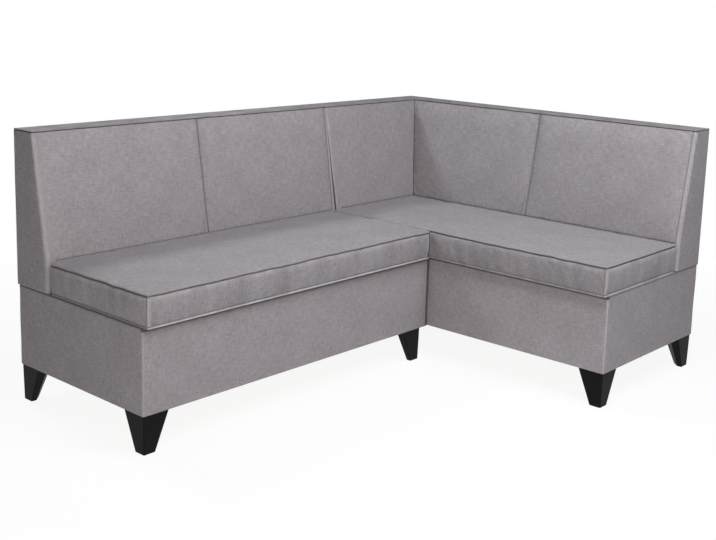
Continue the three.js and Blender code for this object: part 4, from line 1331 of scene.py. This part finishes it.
# %% [markdown]
# The top bands are thin pads of the same form, nearly flat, with a small roll over the panels'
# top seam. In the corner both meet on the diagonal. The cloth on the rear and the cloth that
# hides the hinge rails behind the seats are single layers, stretched flat over their boards and
# drawn as very thin pads.

# %% A thin pad
THIN_ROLL = 1.8 * MM
THIN_RADIUS = 1.5 * MM
THIN_STEP = 14 * MM
THIN_REACH = 40 * MM
THIN_LEVELS = np.array([0.66, 0.33])
# Below this share of its thickness a thin pad has the tone of its edge.
THIN_EDGE = 0.5
# The crown's waves and the painted shade's mottling: how much each varies, and how long its waves are.
THIN_UNEVEN = (0.8, 2.0)
THIN_MOTTLE = (0.7, 3.0)
BAND_THICKNESS = 3.6 * MM
BAND_CROWN = 0.8 * MM
BAND_SUNK = 0.6 * MM
BAND_OVER = 0.4 * MM
# Tones of a band's mottled face, a painted shade on its lit top, and of its edge, a painted shade line.
BAND_TONE = 0.3
BAND_LINE = 1.0
REAR_THICKNESS = 3 * MM
REAR_SHORT = 1.5 * MM
# The tone of a rear or rail cloth's edge: a painted shade line.
REAR_LINE = 0.8
RAIL_THICKNESS = 1.3 * MM
RAIL_CLEAR = 0.1 * MM
RAIL_END = 1 * MM
RAIL_DEPTH = REAR_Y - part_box("straight_hinge_rail")[0].y
COVER_GAP = 0.3 * MM


def thin_pad(name, wall, low_end, high_end, span, thickness, crown, turn, edge_line, tone=0):
    """A thin pad on a wall, with a rim that rolls down in a quarter circle.

    Turn gives a point's depth and height from its place across the pad and its thickness.
    """
    width = float(high_end(0.0, 0.0) - low_end(0.0, 0.0))
    roll = min(thickness / 2, THIN_ROLL)

    def face_height(across, deep):
        """The thickness less the rolled rim, plus a crown with soft waves."""
        inset = nearest_side(across, deep, width, span)
        drop = roll * (1 - np.sqrt(1 - np.clip(1 - inset / roll, 0, 1) ** 2))
        place = np.stack([across, deep, 0 * across], -1)
        wave = 1 + THIN_UNEVEN[0] * ripple(place, THIN_UNEVEN[1])
        rise = crown * wave * hill(across, width, THIN_REACH) * hill(deep, span, THIN_REACH)
        return thickness - drop + rise

    points, quads, coordinates, across, deep, share = padded_form(
        width, span, THIN_RADIUS, THIN_STEP, face_height, THIN_LEVELS, straight_side, flat_base,
    )
    depth, height = turn(points[:, 1], points[:, 2])
    first, last = low_end(depth, height), high_end(depth, height)
    world = wall(first + (last - first) * points[:, 0] / width, depth, height)
    # The face gets a mottled painted shade of the given tone, and the edges a painted shade line.
    place = np.stack([across, deep, 0 * across], -1)
    mottled = tone * (1 + THIN_MOTTLE[0] * ripple(place, THIN_MOTTLE[1]))
    mark = np.where(share < THIN_EDGE, edge_line, mottled)
    piece = cloth_piece(name, world, quads, coordinates, cover_cloth, mark)
    smooth_out(piece)
    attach(piece, "bench")
    return piece


# %% [markdown]
# A thin pad lies flat on the back's top, on its rear or on a rail. It is cut on the diagonal in
# the corner, and its ends can be moved to leave room for the cloth that goes round them.

# %% Faces and ends of the thin pads


def flat_on_top(deep, out):
    """A top band: deep runs from the rear to the front, and the thickness ends near the back's top."""
    return deep, BACK_TOP - BAND_THICKNESS + out - BAND_SUNK


def flat_on_rear(deep, out):
    """A rear cloth: deep runs upwards, and the thickness ends at the rear face."""
    return REAR_THICKNESS - out, END_FOOT + deep


def flat_on_rail(deep, out):
    """A rail's cloth: deep runs upwards, and the thickness ends in front of the rail."""
    return RAIL_DEPTH + RAIL_CLEAR + out, END_FOOT + deep


def corner_x(depth, height):
    """Where the long wall's pieces end in the corner: on the diagonal."""
    return REAR_X - depth - COVER_GAP


def corner_y(depth, height):
    """Where the side wall's pieces end in the corner."""
    return REAR_Y - depth - COVER_GAP


def moved_end(end, distance):
    """An end of a piece, moved along its wall by a distance."""
    return lambda depth, height: end(depth, height) + distance


# %% [markdown]
# Each of the back's three runs has a top band and a rear cloth.

# %% Top bands and rear cloth
rear_rise = BACK_TOP - BAND_THICKNESS - END_FOOT - REAR_SHORT
WRAP_SKIN = 5 * MM
# Each run of the back: its wall, its two ends, and what the cloth round either end takes of its rear.
runs = {
    "straight_back": (on_long_wall, fixed(LEFT_END), fixed(JOINT_LEFT), SKIN, WRAP_SKIN),
    "corner_return": (on_long_wall, fixed(JOINT_RIGHT), corner_x, SKIN, 0),
    "corner_back": (on_side_wall, fixed(RIGHT_END), corner_y, WRAP_SKIN, 0),
}

for run, (wall, first, last, cut_first, cut_last) in runs.items():
    node = f"{run}_cover"
    band = thin_pad(
        f"{run}_top_band", wall, first, last, TOP_DEPTH + BAND_OVER, BAND_THICKNESS, BAND_CROWN, flat_on_top,
        BAND_LINE, BAND_TONE,
    )
    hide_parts(node)
    rear_first, rear_last = moved_end(first, cut_first + COVER_GAP), moved_end(last, -cut_last - COVER_GAP)
    rear = thin_pad(
        f"{run}_rear_cloth", wall, rear_first, rear_last, rear_rise, REAR_THICKNESS, 0.0, flat_on_rear,
        REAR_LINE,
    )
    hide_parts(node)
    rear_width = float(rear_last(0.0, 0.0) - rear_first(0.0, 0.0))
print("bands and rear cloths:", 2 * len(runs))

# %% [markdown]
# Each rail's cloth is a strip from the chest's top to the seat's, and a little shorter than its rail.

# %% Rail cloth
rail_rise = SEAT_TOP + RAIL_CLEAR - END_FOOT
# Each rail's cloth: its wall, its rail and the axis along the rail.
rails = {
    "straight": (on_long_wall, "straight_hinge_rail", 0),
    "return": (on_long_wall, "corner_return_rail", 0),
    "corner": (on_side_wall, "corner_hinge_rail", 1),
}
for name, (wall, node, axis) in rails.items():
    low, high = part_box(node)
    rail = thin_pad(
        f"{name}_rail_cloth", wall, fixed(low[axis] + RAIL_END), fixed(high[axis] - RAIL_END), rail_rise,
        RAIL_THICKNESS, 0.0, flat_on_rail, REAR_LINE,
    )
print("rail cloths:", len(rails))

# %% [markdown]
# At the other two ends a narrow strip of cloth is sewn on: it runs along the end's face, round a
# soft front corner and dives into the seam beside the panel. It is a closed sheet again: a path
# in plan, carried up the back's height while the path's reach follows the slope.

# %% The path of a wrapped end
WRAP_TUCK = 9 * MM
WRAP_ROLL = 3 * MM
WRAP_THICKNESS = 2.8 * MM
# The painted shade where the strip dives into the seam, and the painted highlight on its roll and how far in
# from the end it starts.
WRAP_TONE = 0.5
WRAP_LIGHT = 0.2
WRAP_LIGHT_FROM = 0.5 * MM
# How near the end's face the wrap's path has to be to bulge.
FACE_REACH = 2 * MM
# Steps along the end's face, round a quarter circle and across the front.
FACE_STEPS = 15
TURN_STEPS = 8
FRONT_STEPS = 3


def wrap_path(depth, radius, width):
    """The wrap's path in plan for each height, as distances in from the end and out from the rear.

    It follows the end's face, a quarter circle, the front, and a small quarter circle into the seam.
    """
    face = np.linspace(0, 1, FACE_STEPS + 1)[:, None]
    turn = np.linspace(0, math.pi / 2, TURN_STEPS + 1)[1:, None]
    front = np.linspace(0, 1, FRONT_STEPS + 1)[1:, None]
    flat = width - WRAP_ROLL - radius
    inward = np.concatenate([
        0 * face + 0 * depth, radius * (1 - np.cos(turn)), radius + flat * front,
        width - WRAP_ROLL + WRAP_ROLL * np.sin(turn), width + 0 * front,
    ])
    reach = np.concatenate([
        (depth - radius) * face, depth - radius + radius * np.sin(turn), depth + 0 * front,
        depth - WRAP_ROLL + WRAP_ROLL * np.cos(turn), depth - WRAP_ROLL - WRAP_TUCK * front,
    ])
    return inward, reach


# %% [markdown]
# The strip's outward way is square to its path. Both of its skins follow that way.

# %% Wrapped ends


def wrapped_end(name, wall, end, sign, width_at, radius_share):
    """The strip of cover round one end of a wall. Sign is the way along the wall from that end."""
    rise = PAD_TOP - END_FOOT
    height = END_FOOT + stations(rise, PAD_STEP)
    width = width_at(height)
    radius = radius_share * (width - WRAP_ROLL)
    inward, reach = wrap_path(back_depth(height), radius, width)
    share = (height - END_FOOT) / rise
    on_face = np.clip(1 - inward / FACE_REACH, 0, 1)
    out = np.clip(reach / back_depth(height), 0, 1)
    bulge = END_BULGE * np.sin(math.pi * out) * np.sin(math.pi * share) ** END_POWER
    below, above = height - END_FOOT + 0 * inward, PAD_TOP - height + 0 * inward
    rim, line, _ = pad_rim(FAR + 0 * below, FAR + 0 * below, below, above, WELTED, WELTED)
    step_in, step_reach = np.gradient(inward, axis=0), np.gradient(reach, axis=0)
    size = np.maximum(np.hypot(step_in, step_reach), 1e-9)
    way_in, way_reach = -step_reach / size, step_in / size
    lift = bulge * on_face + FACE_RIM * rim

    def placed(offset):
        """The path moved outward by an offset, put on the wall."""
        along = end + sign * (inward + way_in * offset)
        return wall(along, np.maximum(reach + way_reach * offset, LEAST_DEPTH), height + 0 * inward)

    # Painted shade where the strip tucks into the seam, and a painted highlight on its roll.
    tucked = WRAP_TONE * line_mask(width - inward, SIDE_LINE) * (reach < back_depth(height) - WRAP_ROLL / 2)
    line = np.maximum(line, tucked)
    on_roll = (inward > WRAP_LIGHT_FROM) & (inward < width - WRAP_ROLL)
    mark = np.where(line > LEAST_LINE, line, -WRAP_LIGHT * on_roll)
    return thick_sheet(name, placed(lift), placed(lift - WRAP_THICKNESS), cover_cloth, mark)


# Each strip: the cover that it stands for, its wall, its end, the way from there, its width, and
# how much of that the round front corner takes.
wraps = {
    "straight_back_wrap": ("straight_back_cover", (on_long_wall, JOINT_LEFT, -1, joint_wrap_width, 0.55)),
    "corner_back_wrap": ("corner_back_cover", (on_side_wall, RIGHT_END, 1, end_wrap_width, 0.95)),
}
for name, (node, place) in wraps.items():
    piece = wrapped_end(name, *place)
    smooth_out(piece)
    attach(piece, "bench")
    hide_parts(node)
print("wrapped ends:", len(wraps))

# %% [markdown]
# Each chest wears a sleeve of the same cloth over thin padding, pulled tight round its four
# walls. The corners are soft, with a painted highlight on them. The sleeve is a closed sheet once
# round the chest. Its path in height starts under the floor board, turns up the wall and folds
# over the walls' upper edges, with a very slight slackness between the corners. It has painted
# shade where the seat's edge shades it, on the cloth turned under the floor board and over the
# walls' upper edges, on the straight chest's front, and where the straight chest goes behind the joint.

# %% Sizes of the chest sleeves
SLEEVE_THICKNESS = 6 * MM
SLEEVE_RADIUS = 9 * MM
SLEEVE_FOLD = 18.6 * MM
SLEEVE_LIFT = 0.2 * MM
SLEEVE_ROLL = 3 * MM
SLEEVE_WAVE = 0.6 * MM
SLEEVE_WAVES = 3.4
SLEEVE_STEP = 16 * MM
SLEEVE_ROW_STEP = 15 * MM
# How many rows of the wall's foot are left out, since the roll has its own, how many the roll has,
# and how many the fold has with the roll's first.
ROLL_ROWS = 5
TURN_ROWS = 6
FOLD_ROWS = 4
SLACK_REACH = 12 * MM
# How far inside the outer skin's folds the inner skin keeps, in height and along the fold.
INNER_LIFT = 0.6 * MM
INNER_GAP = 0.1 * MM
SLEEVE_LINE = 11.5 * MM
SLEEVE_LINE_FADE = 3 * MM
# The painted shade line's tones under a seat's edge and elsewhere, and how much narrower it is elsewhere.
SLEEVE_TONES = (0.9, 0.5)
SLEEVE_NARROW = 0.5
# From which inset the cloth is turned in, and its painted shade there.
TURNED_IN = 2 * MM
TURNED_TONE = 0.6
# Painted shade at the joint and on the straight chest's front, and a painted highlight on the corners.
JOINT_LINE = 15 * MM
JOINT_LINE_FADE = 2 * MM
JOINT_SHADE = 0.2
JOINT_SHADE_REACH = 25 * MM
FRONT_SHADE = 0.12
CORNER_LIGHT = 0.32
print("sleeve:", SLEEVE_THICKNESS / MM, "mm thick, corner radius", SLEEVE_RADIUS / MM, "mm")

# %% [markdown]
# The rows of the sleeve are the same all round, so a row is an inset and a height, and the
# outline is carried to each.

# %% Chest sleeves


def sleeve(node):
    """A closed band round a chest. Its outline is a rectangle with round corners, carried up the height."""
    low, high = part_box(node)
    width, depth = high.x - low.x, high.y - low.y
    across, deep = stations(width, SLEEVE_STEP), stations(depth, SLEEVE_STEP)
    grid_a, grid_d = np.meshgrid(across, deep, indexing="ij")
    plan_a, plan_d, outward = round_corners(grid_a, grid_d, width, depth, SLEEVE_RADIUS)
    border = border_of(*grid_a.shape)
    edge = np.stack([plan_a, plan_d], -1).reshape(-1, 2)[border] + np.array([low.x, low.y])
    way = outward.reshape(-1, 2)[border]
    turn = np.linspace(0, math.pi / 2, TURN_ROWS)
    fold = np.linspace(SLEEVE_FOLD, SLEEVE_ROLL, FOLD_ROWS)[:-1]
    rise = high.z - low.z
    half_wall = low.z + near_and_even(rise / 2, SLEEVE_ROW_STEP)[ROLL_ROWS:]
    wall_rise = np.concatenate([half_wall, low.z + high.z - half_wall[-2::-1]])
    turned_up, turned_over = SLEEVE_ROLL * (1 - np.cos(turn)), SLEEVE_ROLL * (1 - np.sin(turn))
    inset = np.concatenate([fold, turned_over, 0 * wall_rise, turned_up, fold[::-1]])
    height = np.concatenate([
        low.z - SLEEVE_LIFT + 0 * fold, low.z + turned_up, wall_rise, high.z - turned_over,
        high.z + SLEEVE_LIFT + 0 * fold,
    ])

    def carried(insets, heights, extra):
        """The outline at each inset and height."""
        plan = edge[:, None] + way[:, None] * (extra - insets)[..., None]
        return np.concatenate([plan, np.broadcast_to(heights, plan.shape[:2])[..., None]], 2)

    on_wall = np.clip((np.minimum(height - low.z, high.z - height)) / SLACK_REACH, 0, 1)
    slack = SLEEVE_WAVE * on_wall * (ripple(carried(0 * inset, height, 0 * inset), SLEEVE_WAVES) - 1)
    inner_inset = np.clip(inset, SLEEVE_THICKNESS, None) + INNER_GAP
    inner_height = np.clip(height, low.z + INNER_LIFT, high.z - INNER_LIFT)
    outer = carried(inset, height, slack)
    inner = carried(inner_inset, inner_height, 0 * slack)
    # Painted shade in a line below the top, where the seat's edge shades the wall, and on the turned-in
    # cloth.
    under_seat = way[:, 1:] < 0 if node.startswith("straight") else way[:, :1] < 0
    line_tone = np.where(under_seat, *SLEEVE_TONES)
    line_end = np.where(under_seat, SLEEVE_LINE, SLEEVE_NARROW * SLEEVE_LINE)
    line = line_tone * np.clip((line_end - (high.z - height)) / SLEEVE_LINE_FADE, 0, 1)
    turned = np.maximum(TURNED_TONE * (inset > TURNED_IN), line)
    bend = (abs(way).min(1)[:, None] * math.sqrt(2)) ** 2
    shade = 0
    # The straight chest gets painted shade where it goes behind the joint and on its front.
    if node.startswith("straight"):
        to_joint = (high.x - edge[:, :1]) + (way[:, 1:] >= 0)
        turned = np.maximum(turned, np.clip((JOINT_LINE - to_joint) / JOINT_LINE_FADE, 0, 1))
        shade = FRONT_SHADE * np.clip(-way[:, 1:], 0, 1) + JOINT_SHADE * np.exp(-to_joint / JOINT_SHADE_REACH)
    # The mark is painted shade above zero and a painted highlight on the round corners below it.
    mark = np.where(turned > LEAST_LINE, turned, shade - CORNER_LIGHT * bend)
    return thick_sheet(node.replace("cover", "sleeve"), outer, inner, cover_cloth, mark, loop=True)


for node in ("straight_chest_cover", "corner_chest_cover"):
    piece = sleeve(node)
    smooth_out(piece)
    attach(piece, "bench")
    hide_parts(node)
    print(piece.name, len(piece.data.vertices), "points")

# %% [markdown]
# The hinges are fixed with screws, three in each leaf and three in each strap's foot. A screw's
# head is a shallow dome: rings of points round its axis, with a cross sunk where a point lies
# inside either arm. The heads of one leaf or strap make one piece.

# %% Heads of screws
SCREW_RINGS = np.array([0.3, 0.6, 1.0, 1.5, 2.0, 2.4, 2.7, 3.2, 3.7, 4.1, 4.1]) * MM
SCREW_TURNS = 32
SCREW_RISE = 1.0 * MM
# How much of a full half circle the dome's profile is.
SCREW_ROUND = 0.85
CROSS_HALF = 0.5 * MM
CROSS_REACH = 2.5 * MM
CROSS_DEPTH = 0.8 * MM
LEAF_THICKNESS = 3 * MM
# Each leaf screw's places to the side of the leaf's middle and above its foot.
LEAF_SCREWS = ((-19 * MM, 12 * MM), (0, 36 * MM), (19 * MM, 12 * MM))
# Each strap screw's distance from the strap's front.
STRAP_SCREWS = (12 * MM, 36 * MM, 60 * MM)


def screw_heads(name, centres, outward, across, body):
    """Domed discs with a cross recess at the centres, facing outward."""
    angle = np.arange(SCREW_TURNS) * 2 * math.pi / SCREW_TURNS
    radius, turn = np.meshgrid(SCREW_RINGS, angle, indexing="ij")
    x, y = radius * np.cos(turn), radius * np.sin(turn)
    dome = SCREW_RISE * np.sqrt(1 - SCREW_ROUND * (radius / SCREW_RINGS[-1]) ** 2)
    in_cross = (np.minimum(abs(x), abs(y)) < CROSS_HALF) & (radius < CROSS_REACH)
    lift = dome - CROSS_DEPTH * in_cross
    lift[-1] = 0
    local = np.stack([x, y, lift], -1).reshape(-1, 3)
    local = np.concatenate([local, [[0, 0, SCREW_RISE - CROSS_DEPTH], [0, 0, 0]]])
    axes = np.stack([across, np.cross(outward, across), outward])
    index = np.arange(radius.size).reshape(radius.shape)
    ring = np.concatenate([index, index[:, :1]], 1)
    top, base = radius.size, radius.size + 1
    first, last = index[0], index[-1]
    fans = [np.stack([np.roll(first, -1), first, first * 0 + top], 1),
            np.stack([last, np.roll(last, -1), last * 0 + base], 1)]
    points, faces = [], []
    for centre in centres:
        start = len(points) * len(local)
        points.append(local @ axes + centre)
        faces += (grid_faces(ring)[:, ::-1] + start).tolist() + (np.concatenate(fans) + start).tolist()
    mesh = bpy.data.meshes.new(name)
    mesh.from_pydata(np.concatenate(points).tolist(), [], faces)
    mesh.polygons.foreach_set("use_smooth", np.ones(len(mesh.polygons), bool))
    mesh.materials.append(steel)
    piece = bpy.data.objects.new(name, mesh)
    scene.collection.objects.link(piece)
    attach(piece, body)
    return piece


# %% [markdown]
# The straight chest's hinges run along X and face -Y, the corner one's run along Y and face -X.

# %% Hinge screws
# Each chest: the way from its hinges towards its front, and the way along them.
HINGE_WAYS = {"straight": ((0, -1, 0), (1, 0, 0)), "corner": ((-1, 0, 0), (0, -1, 0))}
DOWN = np.array([0, 0, -1.0])
for chest, ways in HINGE_WAYS.items():
    front, run = np.array(ways, float)
    deep_axis = int(abs(front).argmax())
    for number in (1, 2):
        low, high = (np.array(side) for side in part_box(f"{chest}_hinge_leaf_{number}"))
        centres = []
        for side, up in LEAF_SCREWS:
            place = (low + high) / 2 + run * side
            place[deep_axis] = high[deep_axis] - LEAF_THICKNESS
            place[2] = low[2] + up
            centres.append(place)
        screw_heads(f"{chest}_leaf_screws_{number}", centres, front, run, "bench")
        low, high = (np.array(side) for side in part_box(f"{chest}_hinge_strap_{number}"))
        centres = []
        for back in STRAP_SCREWS:
            place = (low + high) / 2
            place[deep_axis] = low[deep_axis] + back
            place[2] = low[2]
            centres.append(place)
        screw_heads(f"{chest}_strap_screws_{number}", centres, DOWN, run, f"{chest}_seat")
print("screw heads:", 2 * 2 * (len(LEAF_SCREWS) + len(STRAP_SCREWS)))

# %% [markdown]
# The floor is a plain pale sheet. It keeps the bench's soft shadow: near the bench a share of
# what the camera sees is the lit floor, and further out this fades to plain white light.

# %% Floor and background
FLOOR_HALF = 60.0
LIT_SHARE = 0.09
FADE_START = 1.3
FADE_END = 2.6


def sees_background(tree):
    """One for rays of the camera and for what gloss or glass shows, zero for rays that light the object."""
    rays = add(tree, "ShaderNodeLightPath").outputs
    shown = math_node(tree, "MAXIMUM", rays["Is Glossy Ray"], rays["Is Transmission Ray"])
    return math_node(tree, "MAXIMUM", rays["Is Camera Ray"], shown)


def white_floor():
    """Pale paper: a diffuse white, mixed with even white light where the background is seen."""
    material = bpy.data.materials.new("white_paper")
    material.use_nodes = True
    tree = material.node_tree
    tree.nodes.clear()
    paper = add(tree, "ShaderNodeBsdfDiffuse", values={"Color": linear("#f4f4f4")})
    light = add(tree, "ShaderNodeEmission", values={"Color": (1, 1, 1, 1), "Strength": 1.0})
    place = add(tree, "ShaderNodeTexCoord").outputs["Object"]
    far = add(tree, "ShaderNodeVectorMath", {0: place}, operation="LENGTH").outputs["Value"]
    fade = add(tree, "ShaderNodeMapRange", {"Value": far})
    fade.inputs["From Min"].default_value = FADE_START
    fade.inputs["From Max"].default_value = FADE_END
    fade.inputs["To Min"].default_value = 1 - LIT_SHARE
    fade.inputs["To Max"].default_value = 1
    seen = sees_background(tree)
    mix = add(tree, "ShaderNodeMixShader", {"Fac": math_node(tree, "MULTIPLY", seen, fade.outputs["Result"])})
    tree.links.new(paper.outputs[0], mix.inputs[1])
    tree.links.new(light.outputs[0], mix.inputs[2])
    add(tree, "ShaderNodeOutputMaterial", {"Surface": mix.outputs[0]})
    return material


floor_mesh = bpy.data.meshes.new("floor")
floor_corners = [(x * FLOOR_HALF, y * FLOOR_HALF, 0) for x, y in ((-1, -1), (1, -1), (1, 1), (-1, 1))]
floor_mesh.from_pydata(floor_corners, [], [(0, 1, 2, 3)])
floor_mesh.materials.append(white_floor())
floor = bpy.data.objects.new("floor", floor_mesh)
scene.collection.objects.link(floor)
floor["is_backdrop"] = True
print("floor:", 2 * FLOOR_HALF, "m square")

# %% [markdown]
# The light is a soft studio one. A large softbox high in front of the bench's inner corner
# lights what faces the seats, and the far left end turns away from it. A second one beside the
# camera, slightly warm, fills the fronts. A third, smaller and slightly cool, hangs behind the
# long back: it lights the seats and the side wall over the back's top, and leaves a soft
# shadow along the back and in the corner. The sky adds little, and shows as plain white to the
# camera and in gloss.

# %% Light
LIGHT_TARGET = (0.0, 0.2, 0.4)
SKY_STRENGTH = 0.04
# Each softbox: its name, its place, its size, its watts and its colour.
SOFTBOXES = (
    ("front", (-0.1, -1.35, 2.55), 1.8, 67, "#f7faff"),
    ("beside_camera", (-2.9, -2.1, 1.7), 1.8, 50, "#fffbf3"),
    ("behind_back", (-0.8, 1.95, 2.9), 0.5, 38, "#f0fbff"),
)


def softbox(name, place, size, watts, colour):
    """A square area lamp that faces the bench."""
    lamp = bpy.data.lights.new(name, "AREA")
    lamp.shape = "SQUARE"
    lamp.size = size
    lamp.energy = watts
    lamp.color = linear(colour)[:3]
    holder = bpy.data.objects.new(name, lamp)
    aim = Vector(LIGHT_TARGET) - Vector(place)
    holder.matrix_world = Matrix.Translation(place) @ aim.to_track_quat("-Z", "Y").to_matrix().to_4x4()
    scene.collection.objects.link(holder)
    return holder


for settings in SOFTBOXES:
    softbox(*settings)
world = bpy.data.worlds.new("studio")
scene.world = world
world.use_nodes = True
tree = world.node_tree
tree.nodes.clear()
shown = math_node(tree, "MULTIPLY", sees_background(tree), 1 - SKY_STRENGTH)
strength = math_node(tree, "ADD", shown, SKY_STRENGTH)
sky = add(tree, "ShaderNodeBackground", {"Strength": strength}, {"Color": (1, 1, 1, 1)})
add(tree, "ShaderNodeOutputWorld", {"Surface": sky.outputs[0]})
scene.view_settings.view_transform = "Standard"
print("softboxes:", len(SOFTBOXES), "sky:", SKY_STRENGTH)

# %% [markdown]
# Last, how far the dressed bench's box reaches past the solids' box at its high corner is
# printed.

# %% Growth of the bench's box
low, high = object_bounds()
print("box grows by", [round((b - a) / MM, 1) for a, b in zip(cad_high, high)], "mm")
